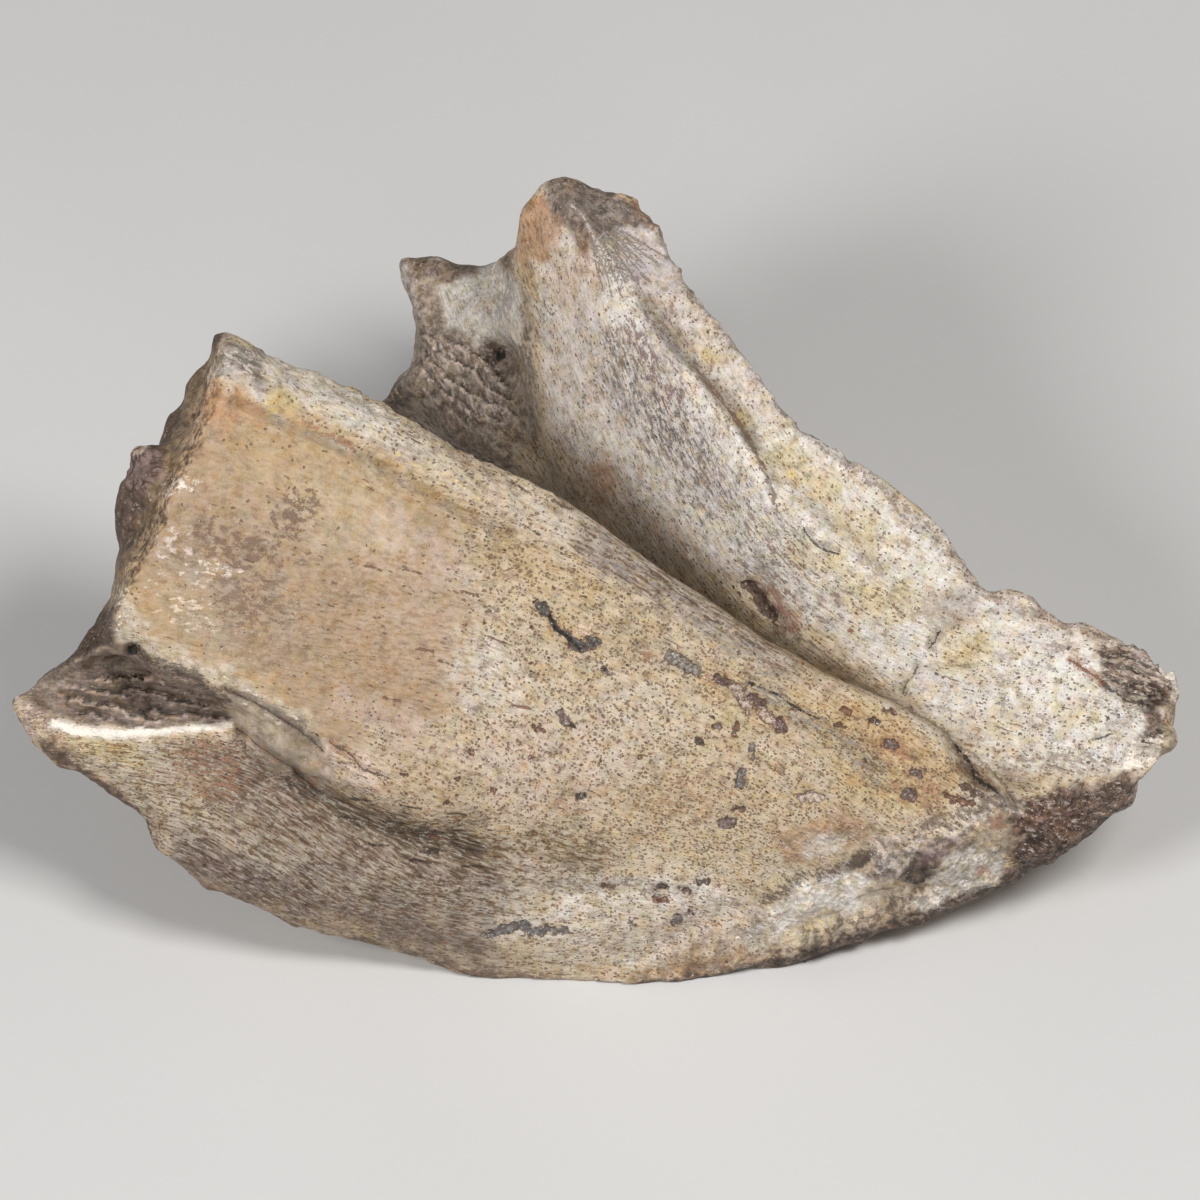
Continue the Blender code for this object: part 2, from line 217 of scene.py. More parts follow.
def mark(side, colour, shape, depth=0.0):
    """A nearly solid mark with a ragged edge, sunk by some millimetres."""
    FLECKS.append((side, shape, colour, 0.9, 1.0, 1.0))
    if depth:
        relief(side, shape, -depth)


def line(side, colour, half_width, *points):
    """A fine line through picture pixels, which the material draws."""
    LINES.append((side, colour, half_width, points))


def dash_lines(side, colour, half_width, places, reach):
    """Short fine lines, each reaching that far right and down from its middle, and back again."""
    for x, y in places:
        line(side, colour, half_width, (x - reach[0], y - reach[1]), (x + reach[0], y + reach[1]))


def pit(side, colour, half_width, *points):
    """A long pit through picture pixels, with a dark rim of painted shade round a fill of that colour."""
    PITS.append((side, colour, half_width, points))
    relief(side, stroke(half_width, *points), -0.2)


def middle_line(x, y, half_long, half_wide, turn):
    """The two ends of an oval's middle line."""
    reach = max(half_long - half_wide, 0.5)
    right = reach * math.cos(math.radians(turn))
    down = reach * math.sin(math.radians(turn))
    return (x - right, y - down), (x + right, y + down)


def relief(side, shape, height, soft=0.9, lump=0.0):
    """A raised or sunk shape in millimetres, or a rough one with lumps of some size."""
    RELIEF.append((side, shape, height, soft, lump))


def ledges(side, shape, turn, spacing, height):
    """Thin layers that break off in steps, turned clockwise, with their spacing in pixels."""
    LEDGES.append((side, shape, math.radians(turn), spacing, height))


# The near ramus: its thick upper block.

BLOCK = area(60, (110, 500), (215, 380), (450, 490), (490, 700), (340, 755), (110, 640))
BLOCK_UPPER = area(20, (215, 385), (330, 440), (440, 500), (400, 560), (240, 470))
BLOCK_LOWER = area(20, (110, 600), (200, 600), (330, 740), (200, 680))
BLOCK_LIGHT = spot(340, 520, 60, 40, 20)
ORANGE_CORNER = spot(222, 404, 40, 18, 30)
OCHRE_EDGE = spot(150, 600, 40, 30)
PINK_PATCH = spot(420, 610, 60, 60)
PINK_BAND = spot(460, 575, 46, 22, 30)
PINK_SPOT = spot(392, 522, 16, 22, -15)
STAIN_UPPER = spot(236, 550, 70, 36, 12)
STAIN_LOWER = spot(240, 612, 60, 40, 12)
MOTTLE_SPOT = spot(296, 512, 20, 28, 20)
MOTTLE_UPPER = spot(236, 548, 56, 26, 8)
MOTTLE_LOWER = spot(248, 600, 48, 32, 10)
MOTTLE_RIGHT = spot(330, 590, 40, 26, 10)
MOTTLE_EDGE = spot(262, 655, 46, 22, 25)
SPARKLE_MIDDLE = spot(215, 566, 44, 16, 5)
SPARKLE_LEFT = spot(180, 546, 26, 26)
SPARKLE_TOP = spot(182, 487, 24, 10, -10)
SPARKLE_FAINT = spot(190, 600, 40, 40)
BLOCK_RIM = stroke(12, (118, 590), (122, 632), (170, 660), (240, 690), (300, 722))
FIBROUS = area(60, (300, 560), (460, 580), (500, 700), (330, 690))
BLOCK_FOOT = stroke(16, (340, 700), (430, 740), (520, 760))
BLOCK_REACH = (8, 2)
FIBRE_DASHES = ((372, 568), (413, 571), (470, 594), (446, 662), (425, 650), (498, 640), (392, 700),
                (520, 706))
FOOT_DASHES = ((448, 803), (462, 780), (490, 790), (470, 752), (640, 757), (434, 836), (404, 775), (532, 756))


def paint_block():
    wash("near", BLOCK, "honey", 0.95, 1.0, pores=0.04, fibres=0.22, flecks=0.05, dashes=0.15)
    wash("near", BLOCK_UPPER, "ochre", 0.5, pores=0.02)
    wash("near", BLOCK_LOWER, "ochre", 0.4)
    wash("near", BLOCK_LIGHT, "cream", 0.4, broken=0.6)
    wash("near", ORANGE_CORNER, "orange", 0.75)
    wash("near", OCHRE_EDGE, "ochre", 0.35)
    wash("near", PINK_PATCH, "pink", 0.35, broken=0.6)
    wash("near", PINK_BAND, "pink", 0.5, broken=0.6)
    wash("near", PINK_SPOT, "pink", 0.5, broken=0.5)
    wash("near", STAIN_UPPER, "stone", 0.3, 1.4, 0.9, flecks=0.4)
    wash("near", STAIN_LOWER, "stone", 0.4, 1.4, 0.9, flecks=0.4)
    wash("near", BLOCK_RIM, "ochre", 0.5, crystal=0.4)
    wash("near", FIBROUS, "honey", 0.5, 1.0, 0.5, fibres=0.4, dashes=1.0, pores=0.0)
    wash("near", BLOCK_RIM, "white", 0.4, 1.0, 0.8)
    wash("near", BLOCK_FOOT, "pink", 0.4, broken=0.6, pores=0.25)
    fleck("near", MOTTLE_SPOT, "brown", 0.56, 1.4, 1.0)
    fleck("near", MOTTLE_UPPER, "brown", 0.50, 1.4, 0.95)
    fleck("near", MOTTLE_LOWER, "brown", 0.46, 1.4, 0.85)
    fleck("near", MOTTLE_RIGHT, "rust", 0.30, 1.4, 0.45)
    fleck("near", MOTTLE_EDGE, "brown", 0.40, 1.4, 0.5)
    fleck("near", SPARKLE_MIDDLE, "white", 0.40, 1.4, 0.7)
    fleck("near", SPARKLE_LEFT, "lilac", 0.40, 1.4, 0.8)
    fleck("near", SPARKLE_TOP, "white", 0.45, 1.2, 0.9)
    fleck("near", SPARKLE_FAINT, "pale", 0.36, 1.4, 0.6)
    fleck("near", BLOCK_RIM, "white", 0.22, 1.2, 0.8)
    dash_lines("near", "rust", 0.9, FIBRE_DASHES, BLOCK_REACH)
    for x, y in FOOT_DASHES:
        pit("near", "rust", 1.6, *middle_line(x, y, 5, 1.6, 14))


# The near ramus: the band along its crest, with the furrow below it.

CORNER_FACET = area(8, (222, 335), (268, 352), (266, 400), (215, 372))
CORNER_STREAK = ((222, 352), (240, 360), (252, 374))
CORNER_EDGE = stroke(6, (216, 368), (240, 384), (262, 398))
BAND_LEFT = stroke(17, (280, 370), (330, 396), (385, 426))
BAND_MIDDLE = stroke(15, (385, 428), (450, 470), (560, 528))
BAND_RIGHT = stroke(20, (590, 540), (680, 600), (780, 664))
BAND_DARK = stroke(16, (600, 560), (680, 610), (770, 672))
BAND_YELLOW = spot(281, 402, 16, 13)
BAND_GOLD = stroke(8, (400, 448), (440, 476), (480, 500))
FURROW_OCHRE = stroke(9, (290, 410), (340, 436), (400, 470), (470, 512))
FURROW_LEFT = stroke(7, (258, 402), (300, 428), (345, 452))
FURROW_RUST = stroke(4, (300, 420), (335, 438), (356, 448))
FURROW_RIGHT = stroke(5, (372, 468), (430, 497), (470, 520), (530, 552))
FURROW = stroke(6, (235, 402), (290, 427), (330, 442), (384, 467), (458, 511), (512, 536))
FURROW_LIP = stroke(8, (215, 380), (262, 402), (300, 422))
CREST_LUMPS = stroke(12, (268, 350), (330, 376), (400, 412), (480, 455), (560, 500))
CREST_SPOT = spot(420, 450, 14, 7, 30)
CREST_SHADE = spot(455, 500, 30, 9, 30)
YELLOW_STAIN = stroke(20, (490, 552), (560, 584), (640, 630))
OLIVE_STREAK = stroke(9, (420, 520), (480, 550), (530, 570))
CREST_REACH = (8, 5)
CREST_DASHES = ((531, 529), (615, 515), (562, 505), (520, 487), (660, 578), (715, 620), (690, 600),
                (745, 640))


def paint_crest():
    wash("near", CORNER_FACET, "slate", 0.7, 0.9, rock=0.4, pores=0.0)
    wash("near", CORNER_EDGE, "pale", 0.7)
    wash("near", BAND_LEFT, "white", 0.6, 0.8, pores=0.15, flecks=0.5)
    wash("near", BAND_MIDDLE, "pale", 0.4, pores=0.5, fibres=0.5, flecks=0.6)
    wash("near", BAND_RIGHT, "stone", 0.9, fibres=1.0, pores=0.5, dashes=0.3)
    wash("near", BAND_YELLOW, "yellow", 0.7)
    wash("near", FURROW_OCHRE, "ochre", 0.6)
    wash("near", YELLOW_STAIN, "ochre", 0.75, 1.0, 0.5, pores=0.8)
    wash("near", OLIVE_STREAK, "olive", 0.3, broken=0.6)
    fleck("near", CORNER_FACET, "lilac", 0.3)
    fleck("near", FURROW_LEFT, "grey", 0.4, 1.2, 0.7)
    fleck("near", FURROW_RUST, "rust", 0.6)
    fleck("near", FURROW_RIGHT, "brown", 0.36, 1.2, 0.7)
    fleck("near", BAND_GOLD, "yellow", 0.3)
    fleck("near", BAND_DARK, "slate", 0.34, 1.4)
    fleck("near", CREST_SPOT, "grey", 0.5)
    fleck("near", CREST_SHADE, "brown", 0.25)
    line("near", "pale", 1.6, *CORNER_STREAK)
    dash_lines("near", "brown", 1.1, CREST_DASHES, CREST_REACH)
    relief("near", FURROW, -0.3)
    relief("near", FURROW_LIP, 0.2)
    relief("near", CREST_LUMPS, 0.3, 1.0, 0.8)


# The near ramus: the porous middle of its face.

FACE_GROUND = area(40, (480, 560), (700, 620), (960, 770), (860, 830), (700, 900), (460, 860), (470, 690))
BEAK = area(24, (790, 690), (880, 705), (975, 775), (930, 812), (850, 800))
BEAK_ORANGE = stroke(16, (820, 700), (880, 735), (940, 780))
FACE_OCHRE = area(30, (560, 700), (700, 760), (880, 820), (780, 850), (600, 860))
FACE_LIGHT = spot(620, 720, 60, 40)
FACE_PINK = spot(540, 770, 60, 50)
FACE_CREAM = spot(720, 850, 110, 34, -5)
FACE_OLIVE = spot(650, 650, 60, 20, 30)
FACE_GOLD = spot(740, 700, 40, 30, 30)
WHITE_PATCH = spot(483, 672, 32, 36, 20)
CHIN_PALE = area(20, (560, 870), (720, 880), (770, 925), (640, 970), (540, 955))
CHIN_OCHRE = spot(640, 930, 60, 24)
CHIN_PINK = spot(700, 930, 40, 22, -15)
MARGIN_OCHRE = area(16, (300, 905), (480, 930), (620, 960), (480, 965), (300, 925))
MARGIN_RUST = spot(460, 930, 50, 20, 15)
MARGIN_WHITE = spot(500, 935, 40, 16)
GREY_MARK = ((490, 934), (506, 928), (524, 925), (532, 934), (548, 929), (566, 931))
MARGIN_LINE = stroke(7, (556, 888), (610, 887), (655, 889), (692, 893))
RUST_FAINT = spot(690, 790, 60, 40, 20)
RUST_MIDDLE = spot(566, 806, 22, 10, 15)
RUST_BEAK = spot(890, 748, 22, 14, 20)
RUST_TIP = spot(915, 790, 34, 20, 30)


def paint_face():
    wash("near", FACE_GROUND, "cream", 0.6, 1.0, pores=0.8, fibres=0.4, flecks=0.5)
    wash("near", BEAK, "yellow", 0.55, 1.0, pores=1.0, flecks=0.5)
    wash("near", BEAK, "ochre", 0.6, 1.0)
    wash("near", BEAK_ORANGE, "orange", 0.3, broken=0.7)
    wash("near", FACE_OCHRE, "ochre", 0.3, 1.0, 0.8, pores=1.0)
    wash("near", FACE_LIGHT, "pale", 0.4, broken=0.8)
    wash("near", FACE_PINK, "pink", 0.4, broken=0.6, pores=0.8)
    wash("near", FACE_CREAM, "cream", 0.5, broken=0.6, pores=1.0)
    wash("near", FACE_OLIVE, "olive", 0.25, broken=0.8)
    wash("near", FACE_GOLD, "yellow", 0.3, broken=0.7)
    wash("near", WHITE_PATCH, "white", 0.5, 0.9, 0.5, pores=0.3, fibres=0.6)
    wash("near", CHIN_PALE, "white", 0.6, 1.0, pores=0.6, flecks=0.6)
    wash("near", CHIN_OCHRE, "ochre", 0.25, broken=0.8)
    wash("near", CHIN_PINK, "pink", 0.4, broken=0.8)
    wash("near", MARGIN_OCHRE, "ochre", 0.3, 1.0)
    wash("near", MARGIN_WHITE, "white", 0.4, broken=0.8)
    fleck("near", MARGIN_RUST, "rust", 0.16)
    fleck("near", MARGIN_LINE, "brown", 0.35)
    fleck("near", RUST_FAINT, "rust", 0.30, 1.4, 0.7)
    fleck("near", RUST_MIDDLE, "rust", 0.45, 1.2, 0.7)
    fleck("near", RUST_BEAK, "rust", 0.58, 1.2, 0.8)
    fleck("near", RUST_TIP, "rust", 0.50, 1.2, 0.8)
    pit("near", "slate", 4.0, *GREY_MARK)
    relief("near", MARGIN_LINE, -0.2)


# The near ramus: the pits and fills of its face.

HOOK_TOP = ((540, 605), (548, 614))
HOOK_MIDDLE = ((550, 617), (554, 627), (566, 635))
HOOK_END = ((572, 640), (582, 646), (593, 641))
HOOK_SPARKLE = spot(584, 628, 9, 8)
HOOK_DEEP = ((550, 616), (554, 627), (566, 636), (580, 648))
HOOK_GROUND = spot(567, 624, 44, 20, 35)
BROWN_PIT = spot(497, 613, 12, 8, 50)
ROUND_PIT = ((605, 667), (609, 671))
RUST_PIT = spot(648, 654, 12, 7, 50)
LENS = ((671, 656), (680, 662), (694, 671))
CHAIN_GROUND = stroke(16, (712, 676), (738, 696), (762, 712), (784, 730))
CHAIN_DARK = (((717, 678), (724, 682)), ((752, 699), (762, 703)), ((780, 722), (783, 730)))
CHAIN_PALE = (((731, 687), (741, 694)), ((744, 706), (748, 709)), ((764, 714), (772, 722)))
LONG_LINE = ((748, 684), (765, 690), (782, 697), (800, 709), (818, 720))
LONG_SHADE = stroke(12, (750, 688), (800, 716), (840, 742), (880, 775))
CRACK_GROUND = stroke(10, (966, 762), (985, 784), (1000, 800))
CRACK = stroke(4, (955, 742), (962, 760), (972, 768), (980, 784), (996, 792))
CRACK_LINE = ((953, 735), (957, 748), (966, 757), (972, 768), (974, 778), (984, 784), (996, 792))

# Small pits: their places, half lengths, half widths, turns and colours.
PIT_SIZE = 0.85
FACE_PITS = (
    (700, 741, 6, 4, 20, "dark"), (717, 727, 6, 5, 0, "purple"), (736, 728, 8, 3, 100, "rust"),
    (753, 750, 9, 3, 100, "slate"), (741, 778, 11, 5, 95, "slate"), (810, 798, 15, 6, 3, "pink"),
    (740, 808, 8, 3, 10, "brown"), (727, 822, 11, 6, -10, "purple"), (537, 728, 9, 3, 20, "rust"),
    (562, 716, 9, 5, 40, "purple"), (571, 724, 5, 3, 0, "dark"), (582, 795, 5, 4, 0, "dark"),
    (845, 712, 8, 4, 20, "rust"), (875, 722, 6, 4, 10, "dark"), (838, 725, 6, 3, 15, "rust"),
    (890, 745, 9, 6, 20, "purple"), (918, 774, 9, 6, 20, "purple"), (910, 795, 9, 8, 0, "purple"),
    (958, 800, 17, 4, 20, "rust"), (972, 792, 12, 4, 30, "brown"), (890, 712, 6, 3, 20, "rust"),
    (607, 886, 9, 3, 5, "brown"), (662, 887, 8, 3, 5, "dark"), (684, 890, 8, 3, 5, "brown"),
    (658, 899, 9, 3, 5, "rust"), (703, 883, 8, 3, 10, "dark"), (677, 920, 7, 5, -40, "slate"),
    (633, 923, 4, 3, 0, "slate"), (690, 913, 4, 3, 0, "grey"), (430, 852, 9, 3, 4, "dark"),
)


def paint_pits():
    wash("near", HOOK_GROUND, "ochre", 0.5)
    wash("near", LONG_SHADE, "grey", 0.35, 1.4, 0.8, fibres=0.8)
    wash("near", CHAIN_GROUND, "ochre", 0.5)
    wash("near", CRACK_GROUND, "brown", 0.7)
    fleck("near", BROWN_PIT, "brown", 0.45, 1.4)
    fleck("near", RUST_PIT, "rust", 0.45, 1.4)
    fleck("near", LONG_SHADE, "slate", 0.36, 1.4)
    fleck("near", CHAIN_GROUND, "rust", 0.34, 1.4)
    fleck("near", HOOK_SPARKLE, "pink", 0.5, 1.4)
    pit("near", "iron", 5.5, *HOOK_TOP)
    pit("near", "iron", 2.6, *HOOK_MIDDLE)
    pit("near", "iron", 6.0, *HOOK_END)
    pit("near", "dark", 3.4, *ROUND_PIT)
    pit("near", "grey", 6.5, *LENS)
    for link in CHAIN_DARK:
        pit("near", "plum", 4.6, *link)
    for link in CHAIN_PALE:
        pit("near", "pink", 5.6, *link)
    for x, y, long, wide, turn, colour in FACE_PITS:
        pit("near", colour, PIT_SIZE * wide, *middle_line(x, y, long, wide, turn))
    line("near", "black", 1.5, *HOOK_DEEP)
    line("near", "black", 1.0, *LONG_LINE)
    line("near", "black", 1.6, *CRACK_LINE)
    relief("near", CRACK, -0.6)


# The near ramus: its lower flange and the groove above it.

FURRY = area(30, (60, 745), (240, 735), (340, 800), (480, 845), (620, 860), (560, 880), (480, 925),
             (300, 910), (170, 860))
FLANGE_CREAM = area(24, (60, 745), (200, 745), (260, 830), (150, 820))
GROOVE_BROWN = stroke(34, (215, 760), (290, 815), (380, 850), (470, 860))
GROOVE_OLIVE = stroke(18, (340, 808), (420, 838), (520, 846), (590, 850))
GROOVE_SHADOW = stroke(10, (300, 790), (390, 832), (470, 845))
FLANGE_LOW_SHADE = stroke(22, (190, 860), (330, 905), (480, 950))
FLANGE_STONE = spot(330, 880, 60, 24, 18)
FLANGE_YELLOW = spot(100, 748, 40, 10, 12)
FLANGE_TOP = stroke(8, (70, 738), (150, 736), (228, 733))
WHITE_RIM = ((56, 724), (75, 731), (110, 733), (150, 731), (200, 728), (232, 724))
PIT_ZONE = area(16, (180, 738), (240, 738), (250, 790), (215, 805), (170, 785))
FLANGE_TIP = area(10, (15, 690), (60, 708), (66, 742), (28, 730))
FLANGE_RIM = ((52, 748), (84, 778), (118, 806), (142, 842), (160, 872), (182, 888))
LOW_RIM = ((190, 888), (300, 934), (400, 960), (480, 978), (600, 990))
GROOVE_REACH = (10, 1)
GROOVE_DASHES = ((362, 800), (410, 806), (455, 814), (395, 824), (440, 832), (500, 830), (380, 845),
                 (470, 866), (345, 818), (420, 862))


def paint_flange():
    wash("near", FURRY, "stone", 0.75, 1.0, pores=0.45, fibres=1.0, dashes=0.35, flecks=0.5)
    wash("near", FLANGE_CREAM, "cream", 0.45, 1.0, 0.6)
    wash("near", PIT_ZONE, "cream", 0.5, 1.0, 0.6, pores=1.0, fibres=0.0, dashes=0.3)
    wash("near", GROOVE_BROWN, "brown", 0.55, 1.6, 0.5, fibres=1.0)
    wash("near", GROOVE_OLIVE, "olive", 0.6, 1.6, 0.5, fibres=1.0)
    # Painted shadow: a dark core along the groove under the block's overhang.
    wash("near", GROOVE_SHADOW, "dark", 0.7, 1.8, 0.6, fibres=1.0)
    # Painted shade: the flange's lower part is darkened.
    wash("near", FLANGE_LOW_SHADE, "matrix", 0.85, 1.6, 0.5)
    wash("near", FLANGE_STONE, "stone", 0.3)
    wash("near", FLANGE_YELLOW, "yellow", 0.6)
    wash("near", FLANGE_TOP, "cream", 0.6)
    wash("near", FLANGE_TIP, "pink", 0.8, rock=0.3, fibres=0.2)
    wash("near", stroke(10, *FLANGE_RIM), "brown", 0.85, 0.8, 0.7, rock=0.7, pores=0.0, fibres=0.1)
    wash("near", stroke(8, *LOW_RIM), "matrix", 0.5, 1.0, 0.9, rock=0.8, pores=0.2)
    # A pale rim along the flange's top edge, with a painted highlight along it.
    wash("near", stroke(6, *WHITE_RIM), "white", 0.9, 0.8, 0.3, fibres=0.0, pores=0.0)
    fleck("near", FLANGE_TIP, "brown", 0.45)
    fleck("near", stroke(10, *FLANGE_RIM), "dark", 0.5)
    fleck("near", stroke(12, *LOW_RIM), "brown", 0.45)
    fleck("near", PIT_ZONE, "rust", 0.40)
    # Flecks of the same pale rim and painted highlight, brighter at its left end.
    fleck("near", stroke(5, *WHITE_RIM[:4]), "white", 0.85, 1.2)
    fleck("near", stroke(3.5, *WHITE_RIM[3:]), "white", 0.55, 1.2)
    dash_lines("near", "dark", 0.9, GROOVE_DASHES, GROOVE_REACH)
    relief("near", stroke(4, *WHITE_RIM), 0.25)
    relief("near", stroke(12, *FLANGE_RIM), 0.35, 1.0, 1.9)


# The near ramus: the recess between block and flange, with its layered matrix and a tongue of it.

RECESS = area(8, (22, 690), (75, 655), (100, 645), (150, 655), (205, 682), (240, 722), (150, 725), (70, 722))
RECESS_LAYERS = area(8, (58, 688), (110, 672), (170, 675), (236, 720), (150, 724), (75, 718))
RECESS_LUMP = spot(105, 668, 26, 14)
RECESS_TIP = spot(60, 690, 26, 14, -20)
RECESS_ROOF_SHADOW = stroke(6, (145, 656), (190, 672), (226, 702))
SHADED_RECESS_HOLE = spot(132, 650, 7, 5, 10)
TONGUE = area(8, (226, 694), (250, 692), (300, 716), (332, 752), (334, 776), (318, 790), (270, 768),
              (236, 728))
TONGUE_LIGHT = spot(262, 722, 26, 14, 35)
TONGUE_OLIVE = spot(300, 758, 22, 14, 35)
TONGUE_TOP = ((226, 690), (262, 706), (300, 730), (322, 750))
TONGUE_BOTTOM = ((238, 728), (262, 748), (290, 768), (318, 792))
LUMP = spot(356, 768, 40, 18, 22)
LUMP_CRACK = ((330, 742), (348, 752), (362, 770), (390, 778))
LUMP_RUST = spot(340, 748, 14, 8, 20)


def paint_recess():
    wash("near", RECESS, "matrix", 0.9, 0.8, 0.3, rock=0.4, pores=0.0, fibres=0.35, flecks=0.4, dashes=0.0)
    wash("near", RECESS_LUMP, "stone", 0.5)
    wash("near", RECESS_TIP, "stone", 0.4)
    wash("near", TONGUE, "stone", 0.8, 0.9, 0.4, rock=0.15, pores=0.05, fibres=0.1, dashes=0.0, flecks=0.3)
    wash("near", TONGUE_LIGHT, "cream", 0.6, broken=0.6)
    wash("near", TONGUE_OLIVE, "olive", 0.35, broken=0.6)
    wash("near", LUMP, "pink", 0.6, broken=0.5)
    # Painted shadow: black flecks under the block's overhanging edge.
    fleck("near", RECESS_ROOF_SHADOW, "black", 0.5)
    fleck("near", stroke(4, *TONGUE_TOP), "brown", 0.3)
    fleck("near", LUMP_RUST, "rust", 0.4)
    fleck("near", stroke(4, *TONGUE_BOTTOM), "rust", 0.4)
    # Painted shade: the hole is sunk and painted black.
    mark("near", "black", SHADED_RECESS_HOLE, 1.3)
    line("near", "brown", 0.9, *TONGUE_TOP)
    line("near", "brown", 0.7, *TONGUE_BOTTOM)
    line("near", "brown", 0.9, *LUMP_CRACK)
    ledges("near", RECESS_LAYERS, 7, 15, 1.2)
    relief("near", RECESS, 0.3, 1.0, 2.0)
    relief("near", TONGUE, 0.35, 1.0, 1.6)
    relief("near", stroke(4, *TONGUE_TOP), -0.3)
    relief("near", stroke(4, *TONGUE_BOTTOM), -0.4)
    relief("near", stroke(3, *LUMP_CRACK), -0.3)
    relief("near", LUMP, 0.3)


# The near ramus: its broken back end.

BACK_END = area(9, (222, 330), (205, 372), (184, 452), (150, 520), (118, 585), (112, 642), (60, 660),
                (80, 500), (100, 440), (180, 330))
BACK_EDGE = stroke(7, (205, 352), (190, 400), (176, 450), (140, 530), (112, 600))
BACK_TOP = stroke(5, (225, 345), (205, 380), (190, 430), (178, 460))
SPONGY_LUMP = spot(142, 465, 20, 28, 20)
SPONGY_LIGHT = spot(138, 450, 14, 10)
SPONGY_FORM = spot(140, 465, 24, 34, 15)


def paint_near_end():
    wash("near", BACK_END, "brown", 0.95, 0.9, 0.3, rock=0.4, pores=0.0, fibres=0.1, flecks=0.4)
    # Painted shade over the end's brown: the back end faces away from the light.
    wash("near", BACK_END, "dark", 0.4, 0.9, 0.8)
    wash("near", BACK_EDGE, "ochre", 0.3, 1.1, 0.6)
    wash("near", BACK_TOP, "tan", 0.5, 1.2, 0.6)
    fleck("near", BACK_END, "stone", 0.2)
    fleck("near", SPONGY_LUMP, "purple", 0.6)
    fleck("near", SPONGY_LIGHT, "pink", 0.6)
    relief("near", SPONGY_FORM, 0.4, 1.0, 1.0)


# The broken front edge, with its calcite and crystals.

FRONT_BAND = area(9, (620, 985), (700, 938), (765, 908), (800, 882), (840, 868), (868, 852), (940, 838),
                  (990, 805), (1040, 798), (1095, 775), (1135, 770), (1150, 800), (1000, 900), (800, 975),
                  (640, 1000))
FRONT_BONE = area(16, (620, 985), (700, 938), (765, 908), (790, 930), (760, 960), (640, 985))
FRONT_GREY = spot(735, 935, 34, 16, -20)
FRONT_SPARKLE = spot(745, 935, 30, 14, -20)
FRONT_RUST = stroke(12, (640, 975), (700, 968), (780, 956))
ORANGE_LENS = spot(828, 842, 42, 24, -14)
ORANGE_LEFT = spot(815, 836, 34, 12, -22)
ORANGE_CENTRE = spot(826, 846, 18, 11, -10)
CALCITE = area(14, (770, 905), (800, 882), (866, 872), (880, 900), (830, 925), (780, 945), (745, 950),
               (752, 925))
CALCITE_FOOT = stroke(10, (760, 945), (800, 935), (850, 918))
CALCITE_GLINTS = spot(808, 928, 34, 7, -12)
CREAM_LENS = spot(884, 892, 28, 12, -20)
LILAC_LENS = spot(888, 866, 24, 13, -20)
CRYSTAL_LINE = stroke(8, (764, 900), (800, 880), (845, 868), (868, 852))
DARK_CRYSTAL = spot(860, 860, 12, 7, -30)
DARK_LENS = spot(917, 872, 18, 11, -25)
PURPLE_LENS = spot(936, 850, 30, 12, -25)
BRIGHT_FILL = area(10, (908, 905), (940, 872), (960, 852), (1000, 850), (1012, 862), (985, 890), (930, 920))
CREAM_FILL = spot(996, 836, 22, 16, -20)
RED_SPOT = spot(998, 824, 12, 7, -10)
RED_SPOT_LOW = spot(982, 869, 10, 6)
YELLOW_GLINT = spot(1010, 862, 12, 10)
GLOSSY_ROCK = area(10, (1000, 800), (1060, 792), (1128, 775), (1138, 800), (1100, 836), (1040, 870),
                   (1012, 880), (1020, 835))
GLOSSY_DARK = spot(1034, 846, 16, 26, 35)
GLOSSY_RUST = spot(1050, 830, 40, 24, -30)
UPPER_GREY = stroke(12, (880, 850), (930, 832), (980, 812), (1010, 800))
UPPER_DARK = stroke(9, (930, 826), (980, 806), (1010, 798))
UNDER_EDGE = ((600, 994), (700, 988), (800, 965), (880, 938), (940, 915), (1000, 890), (1060, 858),
              (1110, 828))


